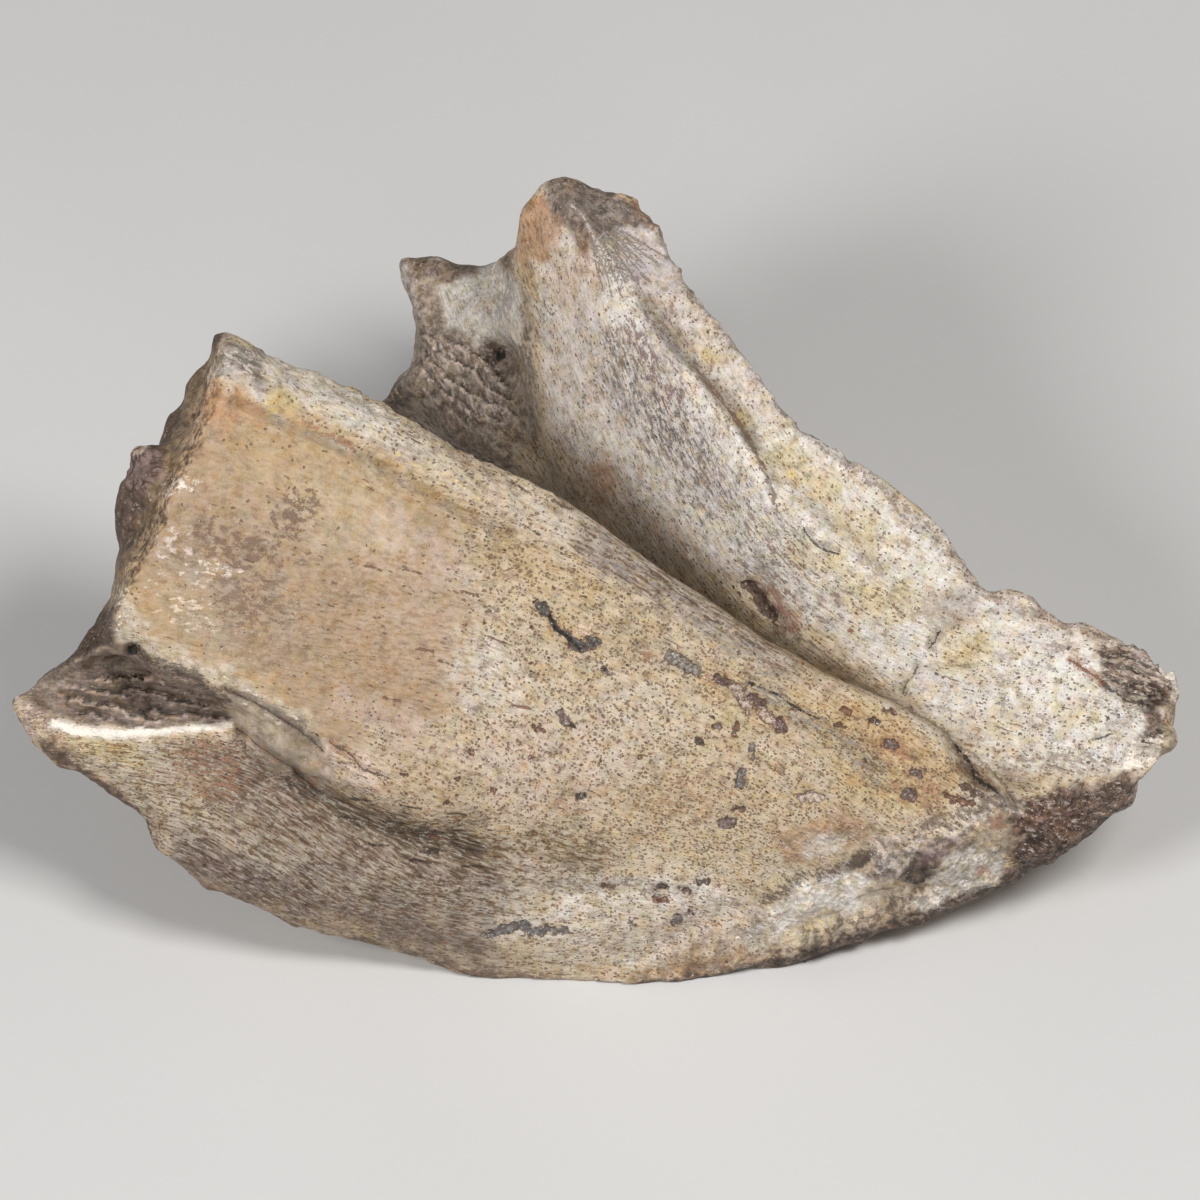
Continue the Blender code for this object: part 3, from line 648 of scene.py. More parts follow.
def paint_front():
    wash("front", FRONT_BAND, "stone", 0.75, 0.8, 0.5, rock=0.7, pores=0.0, fibres=0.0, dashes=0.0,
         flecks=0.7)
    wash("front", FRONT_BONE, "tan", 0.8, 0.9, 0.5, rock=0.2, pores=0.3)
    wash("front", FRONT_GREY, "pale", 0.5, broken=0.6)
    wash("front", ORANGE_LENS, "tan", 0.9, 0.9, 0.4, crystal=0.6, rock=0.0, pores=0.0)
    wash("front", ORANGE_LEFT, "orange", 0.5, 0.9, 0.6)
    wash("front", ORANGE_CENTRE, "white", 0.6, 1.0, 0.5)
    wash("front", CALCITE, "white", 0.95, 0.9, 0.4, crystal=0.8, rock=0.0, flecks=0.2)
    wash("front", CALCITE_FOOT, "cream", 0.6, 1.0, 0.6, crystal=0.6)
    wash("front", CREAM_LENS, "cream", 0.7, 0.9, 0.6, crystal=0.4, rock=0.1)
    wash("front", LILAC_LENS, "lilac", 0.7, 0.9, 0.6, crystal=0.6)
    wash("front", DARK_LENS, "dark", 0.9, 0.9, 0.4, rock=0.6)
    wash("front", PURPLE_LENS, "purple", 0.75, 0.9, 0.6, rock=0.6)
    wash("front", BRIGHT_FILL, "white", 0.9, 0.9, 0.4, crystal=0.9, rock=0.2)
    wash("front", CREAM_FILL, "cream", 0.8, 0.9, 0.5, crystal=0.5, rock=0.2)
    wash("front", GLOSSY_ROCK, "brown", 0.9, 0.9, 0.4, rock=0.8, crystal=0.45, flecks=0.6)
    wash("front", GLOSSY_RUST, "rust", 0.4, 1.2, 0.8)
    wash("front", GLOSSY_DARK, "dark", 0.75, 0.9, 0.4)
    wash("front", UPPER_GREY, "pale", 0.6, 1.0, 0.6, rock=0.6)
    wash("front", stroke(10, *UNDER_EDGE), "matrix", 0.9, 0.8, 0.6, rock=1.0, pores=0.2, crystal=0.0)
    fleck("front", FRONT_BONE, "brown", 0.3)
    fleck("front", FRONT_SPARKLE, "white", 0.3)
    fleck("front", FRONT_RUST, "rust", 0.3)
    fleck("front", CALCITE_GLINTS, "yellow", 0.4)
    fleck("front", CRYSTAL_LINE, "dark", 0.48, 1.4, 0.9)
    fleck("front", BRIGHT_FILL, "grey", 0.25)
    fleck("front", RED_SPOT, "rust", 0.7)
    fleck("front", RED_SPOT_LOW, "rust", 0.6)
    fleck("front", YELLOW_GLINT, "yellow", 0.4)
    fleck("front", GLOSSY_RUST, "rust", 0.25)
    fleck("front", GLOSSY_ROCK, "lilac", 0.26, 1.2, 0.7)
    fleck("front", UPPER_DARK, "dark", 0.5)
    fleck("front", stroke(12, *UNDER_EDGE), "dark", 0.45)
    mark("front", "dark", DARK_CRYSTAL, 0.2)
    relief("front", FRONT_BAND, 0.35, 1.0, 1.6)


# The far ramus: its ground, its crest and the floor of the trough.

FAR_CREST = ((690, 294), (740, 350), (800, 430), (870, 480), (930, 530), (978, 582))
FAR_GROUND = area(20, (545, 178), (700, 250), (980, 590), (1180, 680), (1120, 790), (900, 690), (530, 420))
FAR_MIDDLE = area(20, (600, 300), (690, 330), (790, 500), (830, 560), (740, 560), (620, 430))
FAR_BACK = area(20, (535, 280), (590, 260), (620, 340), (600, 430), (545, 420))
FAR_LOW = area(20, (560, 440), (620, 460), (740, 560), (700, 590), (600, 510))
GAP_SHADE_OLIVE = stroke(14, (545, 480), (600, 535), (680, 590), (760, 640))
GAP_SHADE_BROWN = stroke(7, (545, 495), (600, 548), (680, 604), (760, 650))
TROUGH_SHADE = stroke(13, (770, 646), (840, 684), (900, 708), (950, 738), (1000, 778))
FAR_RUST = area(20, (560, 450), (640, 440), (800, 590), (860, 640), (780, 650), (600, 520))


def paint_far_ground():
    wash("far", FAR_GROUND, "white", 0.88, 1.0, pores=0.22, fibres=0.35, dashes=0.25, flecks=0.9)
    wash("far", FAR_MIDDLE, "white", 0.7, 1.0, 0.5, dashes=0.6)
    wash("far", FAR_BACK, "pink", 0.35, broken=0.6)
    wash("far", FAR_LOW, "lilac", 0.4, broken=0.6)
    # Painted shade where the far ramus drops into the gap.
    wash("far", GAP_SHADE_OLIVE, "olive", 0.35, 1.2, 0.7)
    wash("far", GAP_SHADE_BROWN, "brown", 0.35, 1.2, 0.7)
    # Painted shade in the trough between the rami.
    wash("far", TROUGH_SHADE, "olive", 0.4, 1.2, 0.6, pores=0.5)
    wash("far", stroke(6, *FAR_CREST), "lilac", 0.6, broken=0.6)
    fleck("far", FAR_RUST, "rust", 0.13)
    fleck("far", stroke(6, *FAR_CREST), "brown", 0.35)
    relief("far", stroke(9, *FAR_CREST), 0.35, 1.0, 1.2)


# The far ramus: its broken back end.

FAR_TOP = area(7, (543, 172), (560, 176), (612, 186), (640, 212), (652, 238), (610, 228), (594, 240),
               (588, 250), (560, 224), (548, 196))
FAR_TOP_GREY = spot(608, 212, 30, 14, 30)
TOP_RIDGE = ((570, 203), (582, 216), (592, 232), (602, 252))
TOP_SHADE = stroke(8, (552, 205), (572, 226), (588, 250))
FAN = area(8, (606, 232), (650, 232), (684, 262), (678, 292), (648, 296), (620, 270))
FAN_ROOT = (588, 214)
FAN_STRANDS = 9
FAN_FIRST = 28.0
FAN_STEP = 6.5
FAN_START = 28.0
FAN_REACH = 90.0
FAN_RAGGED = 6.0
TOP_RIM = ((600, 182), (640, 208), (664, 232), (684, 262), (688, 292))
ORANGE_TOP = area(10, (545, 192), (560, 220), (552, 262), (514, 268), (516, 230), (530, 200))
OCHRE_TOP = spot(522, 285, 16, 26, 10)
ORANGE_FAINT = spot(570, 270, 26, 30, 20)
BROWN_BACK = stroke(5, (512, 292), (518, 330), (516, 360))


def paint_far_top():
    wash("far", FAR_TOP, "matrix", 0.9, 0.9, 0.3, rock=0.5, pores=0.0, fibres=0.1)
    wash("far", FAR_TOP_GREY, "grey", 0.5, broken=0.5)
    wash("far", TOP_SHADE, "brown", 0.5)
    wash("far", FAN, "lilac", 0.9, 0.9, 0.4, pores=0.0, fibres=0.1, flecks=0.4)
    wash("far", stroke(8, *TOP_RIM[1:]), "matrix", 0.5, 1.0, 0.6, rock=0.6)
    wash("far", ORANGE_TOP, "orange", 0.85, 1.0, 0.3, pores=0.1)
    wash("far", OCHRE_TOP, "ochre", 0.7)
    wash("far", ORANGE_FAINT, "orange", 0.35, broken=0.6)
    fleck("far", FAR_TOP, "stone", 0.3)
    fleck("far", stroke(9, *TOP_RIM[1:]), "rust", 0.4)
    fleck("far", BROWN_BACK, "brown", 0.4)
    line("far", "lilac", 1.5, *TOP_RIDGE)
    for k in range(FAN_STRANDS):
        turn = math.radians(FAN_FIRST + FAN_STEP * k)
        strand = [(FAN_ROOT[0] + reach * math.cos(turn), FAN_ROOT[1] + reach * math.sin(turn))
                  for reach in (FAN_START, FAN_REACH - FAN_RAGGED * (k % 3))]
        line("far", "stone", 0.8, *strand)
        relief("far", stroke(3, *strand), -0.14)
    relief("far", stroke(4, *TOP_RIDGE), 0.25)
    relief("far", stroke(12, *TOP_RIM), 0.35, 1.0, 1.0)


# The far ramus: its blue-grey streaks, the inner ridge and the groove beside it.

SLATE_ZONE = area(18, (596, 330), (624, 320), (664, 352), (706, 430), (742, 500), (700, 505), (650, 460),
                  (606, 390))
SLATE_DENSE = spot(670, 425, 22, 34, -35)
PURPLE_MOTTLE = stroke(14, (630, 325), (652, 370), (672, 400))
SLATE_LOW = stroke(14, (690, 500), (740, 540), (790, 575))
SLATE_RIGHT = stroke(16, (700, 440), (740, 500), (790, 540))
PURPLE_FAINT = area(16, (600, 250), (640, 262), (700, 340), (760, 430), (740, 470), (660, 370))
INNER_RIDGE = stroke(7, (598, 250), (628, 304), (668, 360), (735, 428), (780, 500))
INNER_GROOVE = stroke(8, (646, 300), (678, 343), (706, 372), (732, 406), (756, 442))
GROOVE_CREASE = stroke(3.4, (700, 372), (726, 406), (750, 442), (768, 480), (778, 508))
OUTER_PINK = area(14, (640, 290), (690, 290), (740, 350), (780, 430), (750, 420), (690, 350))
GROOVE_GREY = spot(664, 345, 14, 26, -35)
CRACK_SHADE = stroke(5, (800, 524), (818, 540), (838, 552))
SHORT_CRACK = ((802, 530), (814, 541), (828, 550), (840, 554))
WHITE_LUMP = spot(784, 492, 10, 7)
RUST_CLOUD = spot(740, 520, 34, 22, 35)
DARK_NET = area(20, (700, 470), (800, 540), (860, 600), (830, 640), (740, 580))


def paint_far_streaks():
    wash("far", SLATE_ZONE, "lilac", 0.5, 1.4, 0.9, fibres=0.7, dashes=0.3)
    wash("far", INNER_RIDGE, "white", 0.35, 1.0, 0.5)
    # Painted shadow in the groove beside the inner ridge.
    wash("far", INNER_GROOVE, "olive", 0.5, 1.3, 0.4)
    wash("far", OUTER_PINK, "pink", 0.4, 1.0, 0.5)
    wash("far", GROOVE_GREY, "grey", 0.35)
    fleck("far", SLATE_ZONE, "iron", 0.38, 1.5, 0.9)
    fleck("far", SLATE_DENSE, "iron", 0.50, 1.5, 0.95)
    fleck("far", PURPLE_MOTTLE, "plum", 0.46, 1.4, 0.95)
    fleck("far", SLATE_LOW, "iron", 0.36, 1.5, 0.9)
    fleck("far", SLATE_RIGHT, "iron", 0.30, 1.5, 0.85)
    fleck("far", PURPLE_FAINT, "plum", 0.27, 1.4, 0.9)
    # Painted shade along the groove's crease.
    fleck("far", GROOVE_CREASE, "brown", 0.60, 1.2, 1.0)
    fleck("far", CRACK_SHADE, "slate", 0.55, 1.2, 0.8)
    fleck("far", WHITE_LUMP, "white", 0.6, 1.2, 0.7)
    fleck("far", RUST_CLOUD, "rust", 0.32, 1.4, 0.9)
    fleck("far", DARK_NET, "plum", 0.34, 1.4, 0.9)
    line("far", "dark", 0.7, *SHORT_CRACK)
    relief("far", INNER_GROOVE, -0.25, 1.4)


# The far ramus: its stains, pits and cracks.

# Yellow stains: their places, half lengths, half widths, turns and strengths.
STAINS = ((713, 358, 18, 7, 15, 0.8), (738, 420, 14, 8, 40, 0.6), (820, 558, 36, 14, 15, 0.5),
          (910, 500, 20, 9, 45, 0.3), (965, 652, 28, 22, 0, 0.7), (880, 600, 38, 20, 10, 0.6),
          (800, 470, 40, 22, 45, 0.6), (850, 525, 40, 20, 45, 0.5))
ORANGE_STREAK = spot(713, 358, 14, 5, 15)
BRIGHT_YELLOW = spot(793, 473, 4, 4)
ORANGE_PATCH = spot(602, 478, 13, 26, 10)
RUST_PATCH = spot(598, 497, 7, 12, 20)
CREASE = stroke(7, (862, 560), (890, 590), (925, 620))
DARK_PIT = ((749, 585), (757, 596), (762, 606), (772, 614))
RED_EDGE = stroke(9, (768, 592), (784, 608), (796, 630))
RED_DASH = spot(852, 630, 8, 3, -15)
SMALL_CRACK = ((904, 694), (907, 685), (913, 677), (917, 668))
FIBROUS_GREY = stroke(9, (926, 596), (934, 616), (938, 634))
STEP_CRACK = ((931, 648), (936, 641), (940, 632))
STEP_STONE = area(10, (936, 592), (975, 585), (978, 620), (945, 634))


def paint_far_details():
    for x, y, long, wide, turn, amount in STAINS:
        wash("far", spot(x, y, long, wide, turn), "yellow", amount, 1.4, 0.6, pores=0.4)
    wash("far", ORANGE_PATCH, "orange", 0.7, 1.0, 0.5)
    wash("far", STEP_STONE, "stone", 0.6, 1.0, 0.5)
    fleck("far", ORANGE_STREAK, "orange", 0.3)
    fleck("far", RUST_PATCH, "rust", 0.5)
    # Painted shade along the crease.
    fleck("far", CREASE, "olive", 0.4)
    fleck("far", RED_EDGE, "red", 0.5)
    fleck("far", FIBROUS_GREY, "grey", 0.6)
    mark("far", "yellow", BRIGHT_YELLOW)
    mark("far", "red", RED_DASH)
    pit("far", "brown", 6, *DARK_PIT)
    line("far", "brown", 0.6, *SMALL_CRACK)
    line("far", "black", 1.0, *STEP_CRACK)
    relief("far", stroke(5, *DARK_PIT), -0.4)
    relief("far", stroke(4, *SMALL_CRACK), -0.3)
    relief("far", stroke(4, *STEP_CRACK), -0.4)


# The far ramus: the porous front end with its layered tip.

POROUS = area(24, (990, 660), (1080, 655), (1150, 705), (1135, 775), (1020, 775), (940, 710))
POROUS_CREAM = spot(1000, 720, 40, 24, 20)
POROUS_YELLOW = spot(1075, 715, 24, 12)
# Clusters of dark flecks: their places, half lengths, half widths, turns and colours.
TIP_CLUSTERS = (
    (1036, 668, 16, 8, 0, "slate"), (1100, 738, 12, 6, 10, "slate"), (978, 738, 14, 8, 10, "purple"),
    (1040, 722, 14, 10, 0, "purple"), (1000, 700, 10, 6, 0, "slate"), (1120, 712, 14, 6, 10, "slate"),
    (1070, 752, 30, 6, 5, "slate"), (1150, 715, 14, 10, 0, "brown"), (1090, 700, 16, 6, 10, "brown"),
)
TIP_CRACK = ((1098, 740), (1106, 736), (1114, 733))
TIP_FOOT = stroke(12, (1000, 772), (1050, 762), (1110, 768))
RUST_LINE = ((1070, 660), (1088, 672), (1104, 684))
DARK_LINE = ((1104, 684), (1116, 692), (1128, 700), (1148, 706))
BROWN_DASH = spot(1058, 646, 20, 6, 10)
TIP_LAYERS = area(8, (1096, 640), (1135, 645), (1175, 664), (1184, 684), (1160, 704), (1130, 696),
                  (1100, 676))
TIP_BROWN = spot(1152, 690, 20, 9, 15)
TIP_WHITE = stroke(5, (1164, 668), (1178, 680), (1174, 696))
NOTCH = stroke(8, (1152, 710), (1154, 728), (1142, 748))
TIP_LUMP = area(6, (1130, 740), (1165, 735), (1160, 760), (1140, 788), (1120, 780))
TIP_ROUGH = area(10, (1130, 735), (1165, 690), (1175, 740), (1150, 790), (1120, 780))
TIP_EDGE = ((984, 590), (1000, 598), (1040, 612), (1100, 632), (1140, 646), (1180, 676))


def paint_tip():
    wash("far", POROUS, "white", 0.65, 1.0, 0.5, dashes=0.5, pores=0.45, fibres=0.2, flecks=1.0)
    wash("far", POROUS_CREAM, "cream", 0.5, broken=0.7)
    wash("far", POROUS_YELLOW, "yellow", 0.35, broken=0.7)
    wash("far", TIP_LAYERS, "matrix", 0.95, 0.9, 0.3, rock=0.4, fibres=0.8, dashes=0.0)
    wash("far", TIP_BROWN, "brown", 0.85, 1.0, 0.4, rock=1.0, dashes=0.0)
    wash("far", NOTCH, "brown", 0.8, 1.0, 0.5, rock=0.8, dashes=0.0)
    wash("far", stroke(10, *TIP_EDGE), "lilac", 0.6, 1.0, 0.6, rock=0.4)
    for x, y, long, wide, turn, colour in TIP_CLUSTERS:
        fleck("far", spot(x, y, long, wide, turn), colour, 0.4)
    fleck("far", TIP_FOOT, "brown", 0.4)
    fleck("far", stroke(5, *RUST_LINE), "rust", 0.6)
    fleck("far", BROWN_DASH, "brown", 0.6)
    fleck("far", TIP_LAYERS, "pale", 0.28)
    fleck("far", TIP_WHITE, "white", 0.7)
    fleck("far", TIP_LUMP, "white", 0.65)
    fleck("far", stroke(9, *TIP_EDGE), "rust", 0.25)
    line("far", "dark", 1.0, *TIP_CRACK)
    line("far", "rust", 1.3, *RUST_LINE)
    line("far", "dark", 1.6, *DARK_LINE)
    relief("far", stroke(4, *DARK_LINE), -0.5)
    ledges("far", TIP_LAYERS, 24, 11, 0.6)
    relief("far", TIP_ROUGH, 0.45, 1.0, 1.2)
    relief("far", stroke(12, *TIP_EDGE), 0.4, 1.0, 1.8)


# The piece of the far ramus behind the gap.

STUB = area(9, (395, 250), (440, 252), (500, 250), (530, 300), (540, 440), (480, 460), (375, 420), (380, 380))
STUB_BONE = area(9, (432, 288), (500, 262), (524, 300), (520, 345), (478, 345), (452, 322))
STUB_SLATE = spot(505, 300, 9, 26, 10)
STUB_TOP = spot(440, 268, 34, 9, 10)
STUB_RIM = stroke(7, (404, 262), (404, 288), (412, 312))
STUB_STREAKS = area(14, (420, 330), (500, 345), (520, 420), (470, 430), (420, 390))
STUB_HOLE = spot(501, 355, 7, 5, -30)
STUB_DARK = spot(395, 392, 16, 12)


def paint_stub():
    wash("stub", STUB, "stone", 0.9, 1.0, 0.5, rock=0.6, pores=0.0, fibres=0.2)
    wash("stub", STUB_BONE, "white", 0.85, 1.0, 0.4, rock=0.1, fibres=0.6)
    wash("stub", STUB_TOP, "brown", 0.6)
    wash("stub", STUB_RIM, "lilac", 0.8)
    wash("stub", STUB_DARK, "dark", 0.6)
    fleck("stub", STUB, "stone", 0.22)
    fleck("stub", STUB_SLATE, "slate", 0.5)
    fleck("stub", STUB_STREAKS, "lilac", 0.3)
    mark("stub", "black", STUB_HOLE, 0.6)
    ledges("stub", STUB_STREAKS, 38, 15, 0.5)


# The skin.


def picture_of(points):
    """Where points fall in the picture, and how far out they lie."""
    offset = points - LOOKS_AT
    out = offset @ OUT
    scale = FRAME_PIXELS / FRAME_MM * DISTANCE / (DISTANCE - out)
    return FRAME_PIXELS / 2 + offset @ RIGHT * scale, FRAME_PIXELS / 2 - offset @ UP * scale, out


def sides_of(points, normals):
    """How much each point belongs to each seen side of the jaw."""
    px, py, out = picture_of(points)
    seen = smooth((normals @ OUT + SEEN_SOFT) / SEEN_SOFT)
    crest = np.interp(px, [x for x, y in NEAR_CREST], [y for x, y in NEAR_CREST])
    below = smooth((py - crest + CREST_SOFT / 2) / CREST_SOFT)
    across = (points - MIDDLE_POINT) @ MIDDLE_NORMAL
    near_part = 1.0 - smooth((across - NEAR_REACH) / NEAR_SOFT)
    front = smooth((py - FRONT_TOP) / FRONT_TOP_SOFT) * smooth((px - FRONT_LEFT) / FRONT_LEFT_SOFT)
    behind = smooth((STUB_DEPTH - out) / STUB_DEPTH_SOFT) * smooth((STUB_RIGHT - px) / STUB_RIGHT_SOFT)
    above = seen * (1.0 - below)
    return {"near": seen * below * near_part, "front": seen * front, "far": above * (1.0 - behind),
            "stub": above * behind}


# How much crisp shapes waver, against soft ones.
CRISP_WAVER = 0.35


def wavering(points, px, py, amount=1.0):
    """Picture places pushed about a little, so that no patch has a drawn edge."""
    return (px + amount * (5.0 * noise_at(points, 2.2, 21) + 2.5 * noise_at(points, 0.8, 22)),
            py + amount * (5.0 * noise_at(points, 2.2, 23) + 2.5 * noise_at(points, 0.8, 24)))


def cover(distance, soft, broken, fine):
    """How fully a shape covers each point."""
    return smooth((1.0 + soft / 2 - distance - broken * fine) / soft)


def new_skin():
    """The jaw's skin in millimetres, without facets and with an even, fine net."""
    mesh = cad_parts["jaw"].data.copy()
    mesh.transform(((1 / MM, 0, 0, 0), (0, 1 / MM, 0, 0), (0, 0, 1 / MM, 0), (0, 0, 0, 1)))
    cage = changed(mesh, ("WELD", {"merge_threshold": 0.001}))
    corners = arrays_of(cage)[0]
    subdivide = ("SUBSURF", {"levels": 2, "render_levels": 2})
    for _ in range(CAGE_ROUNDS):
        # The cage moves out by what subdivision rounds off, so that the skin passes through the CAD's points.
        rounded = arrays_of(changed(cage.copy(), subdivide))[0][:len(corners)]
        write_points(cage, arrays_of(cage)[0] + corners - rounded)
    remesh = ("REMESH", {"mode": "VOXEL", "voxel_size": VOXEL})
    soften = ("SMOOTH", {"factor": 0.5, "iterations": 3})
    return changed(cage, subdivide, remesh, soften)


def changed(mesh, *modifiers, group=None):
    """A copy of a mesh after some modifiers, with a vertex group where its weights are given."""
    helper = bpy.data.objects.new("helper", mesh)
    bpy.context.scene.collection.objects.link(helper)
    if group is not None:
        helper.vertex_groups.new(name="group")
        for level in np.unique(group):
            members = np.flatnonzero(group == level).tolist()
            helper.vertex_groups["group"].add(members, float(level), "REPLACE")
    for kind, settings in modifiers:
        modifier = helper.modifiers.new(kind.title(), kind)
        for key, value in settings.items():
            setattr(modifier, key, value)
    graph = bpy.context.evaluated_depsgraph_get()
    result = bpy.data.meshes.new_from_object(helper.evaluated_get(graph))
    bpy.data.objects.remove(helper)
    return result


def write_points(mesh, points):
    """Moves a mesh's points."""
    mesh.vertices.foreach_set("co", np.ascontiguousarray(points, np.float32).ravel())
    mesh.update()


def arrays_of(mesh):
    """Places and normals of a mesh's points."""
    count = len(mesh.vertices)
    points = np.zeros(count * 3, np.float32)
    normals = np.zeros(count * 3, np.float32)
    mesh.vertices.foreach_get("co", points)
    mesh.vertices.foreach_get("normal", normals)
    return points.reshape(-1, 3).astype(float), normals.reshape(-1, 3).astype(float)


def blended(colour, name, share):
    """Colours mixed towards a named one."""
    return colour + share[:, None] * (linear(COLOURS[name]) - colour)


def steps_at(points, px, py, turn, spacing):
    """A saw across thin layers: 0 in the gap under a layer, 1 at its edge."""
    down = (py * math.cos(turn) - px * math.sin(turn)) / spacing
    down = down + 0.9 * noise_at(points, 5.0, 101) + 0.3 * noise_at(points, 1.3, 102)
    return 1.0 - (down - np.floor(down))


def channels_of(points, normals):
    """Colour and channel values at each point."""
    plain = picture_of(points)[:2]
    sides = sides_of(points, normals)
    px, py = wavering(points, *plain)
    fine = layered(points, 1.6, 31, 2)
    colour, values = ground_of(points, normals)
    for side, shape, name, amount, soft, broken, channels in WASHES:
        share = cover(shape(px, py), soft, broken, fine) * sides[side]
        colour = blended(colour, name, share * amount)
        for channel, value in channels.items():
            k = CHANNELS.index(channel)
            values[:, k] += share * (value - values[:, k])
    for side, shape, turn, spacing, height in LEDGES:
        step = steps_at(points, *plain, turn, spacing)
        share = cover(shape(px, py), 0.6, 0.2, fine) * sides[side]
        # Painted shade in the gap under each layer; each layer's edge turns pinker.
        colour = blended(colour, "dark", share * 0.75 * smooth((0.30 - step) / 0.2))
        colour = blended(colour, "pink", share * 0.5 * smooth((step - 0.7) / 0.2))
    return colour, values


def flecks_of(points, normals, ground):
    """The colour of flecks and marks at each point, and the share that they cover."""
    px, py = picture_of(points)[:2]
    sides = sides_of(points, normals)
    px, py = wavering(points, px, py, CRISP_WAVER)
    fine = layered(points, 1.2, 35, 2)
    colour = ground.copy()
    share = np.zeros(len(points))
    for side, shape, name, amount, soft, strength in FLECKS:
        own = cover(shape(px, py), soft, 0.2, fine) * amount * sides[side]
        wins = (own >= share) & (own > 0.0)
        colour[wins] = ground[wins] + strength * (linear(COLOURS[name]) - ground[wins])
        share = np.maximum(share, own)
    return colour, share


# Fine lines and placed pits, in pixels: how far their distances are known, and how softly lines end.
LINE_KNOWN = 12.0
LINE_END = 3.0

# They stay on what faces the picture and belongs enough to their side.
LINE_FACING = 0.0
ON_SIDE = 0.3


def distances_to(route, px, py):
    """Distances to a line, first with a sign for the side, and how far a place lies beyond its ends."""
    signed = np.full(len(px), LINE_KNOWN)
    plain = np.full(len(px), LINE_KNOWN)
    beyond = np.full(len(px), LINE_KNOWN)
    for k, ((ax, ay), (bx, by)) in enumerate(zip(route, route[1:])):
        length = math.hypot(bx - ax, by - ay)
        along = ((px - ax) * (bx - ax) + (py - ay) * (by - ay)) / length
        across = ((bx - ax) * (py - ay) - (by - ay) * (px - ax)) / length
        before = np.maximum(-along, 0.0)
        after = np.maximum(along - length, 0.0)
        own = np.hypot(across, before + after)
        past = before * (k == 0) + after * (k == len(route) - 2)
        closer = own < plain
        plain = np.where(closer, own, plain)
        signed = np.where(closer, np.copysign(own, across), signed)
        beyond = np.where(closer, past, beyond)
    return signed, plain, beyond


def lines_of(points, normals):
    """The nearest fine line at each point: its signed distance, distance and half width, then its colour."""
    sides = sides_of(points, normals)
    px, py = wavering(points, *picture_of(points)[:2], CRISP_WAVER)
    places = np.tile((LINE_KNOWN, LINE_KNOWN, 1.0), (len(points), 1))
    paint = np.zeros((len(points), 4))
    for side, name, half_width, route in LINES:
        signed, plain, beyond = distances_to(route, px, py)
        closer = (plain < places[:, 1]) & (sides[side] > ON_SIDE) & (normals @ OUT > LINE_FACING)
        places[closer] = np.column_stack((signed, plain, np.full(len(px), half_width)))[closer]
        paint[closer, :3] = linear(COLOURS[name])
        paint[closer, 3] = smooth(1.0 - beyond[closer] / LINE_END)
    return places, paint


def pits_of(points, normals):
    """The nearest placed pit at each point: its colour, then how far out of it, with 0.5 on its edge."""
    sides = sides_of(points, normals)
    px, py = wavering(points, *picture_of(points)[:2], CRISP_WAVER)
    outside = np.full(len(points), LINE_KNOWN)
    paint = np.zeros((len(points), 4))
    for side, name, half_width, route in PITS:
        own = distances_to(route, px, py)[1] - half_width
        closer = (own < outside) & (sides[side] > ON_SIDE) & (normals @ OUT > LINE_FACING)
        outside[closer] = own[closer]
        paint[closer, :3] = linear(COLOURS[name])
    paint[:, 3] = 0.5 + outside / (2.0 * LINE_KNOWN)
    return paint


def ground_of(points, normals):
    """The bone's own colour all round, with matrix on the breaks and crusts that the picture doesn't show."""
    blotch = layered(points, 11.0, 41, 3)
    stain = layered(points, 6.0, 45, 3)
    values = np.zeros((len(points), len(CHANNELS)))
    for channel, value in BONE_CHANNELS.items():
        values[:, CHANNELS.index(channel)] = value
    colour = np.tile(linear(COLOURS["cream"]), (len(points), 1))
    colour = blended(colour, "tan", 0.6 * smooth((blotch - 0.05) / 0.7))
    colour = blended(colour, "pale", 0.6 * smooth((-blotch - 0.1) / 0.7))
    colour = blended(colour, "orange", 0.25 * smooth((stain - 0.5) / 0.5))
    colour = blended(colour, "stone", 0.45 * smooth((-stain - 0.35) / 0.5))
    broken = broken_ends(points, normals)
    colour = blended(colour, "matrix", 0.9 * broken)
    colour = blended(colour, "pale", 0.5 * broken * smooth(layered(points, 3.0, 48, 3) * 1.6))
    hidden = 1.0 - smooth((normals @ OUT + 0.3) / 0.4)
    crust = smooth((layered(points, 9.0, 51, 3) - 0.45) / 0.25) * hidden
    colour = blended(colour, "matrix", 0.75 * crust)
    values[:, CHANNELS.index("rock")] = np.maximum(broken, 0.8 * crust)
    for channel in ("pores", "fibres", "dashes"):
        values[:, CHANNELS.index(channel)] *= (1.0 - broken) * (1.0 - crust)
    return colour, values


def broken_ends(points, normals):
    """How much each point lies on a broken back end."""
    left = normals @ np.array((-0.88, 0.2, 0.1))
    near_end = smooth((-36.0 - points[:, 0]) / 4.0) * smooth((left - 0.35) / 0.25)
    far_end = smooth((-6.0 - points[:, 0]) / 6.0) * smooth((points[:, 1] - 4.0) / 3.0)
    edge = noise_at(points, 3.0, 61) * 0.25
    return np.clip(np.maximum(near_end, far_end) + edge * (near_end + far_end > 0.05), 0.0, 1.0)


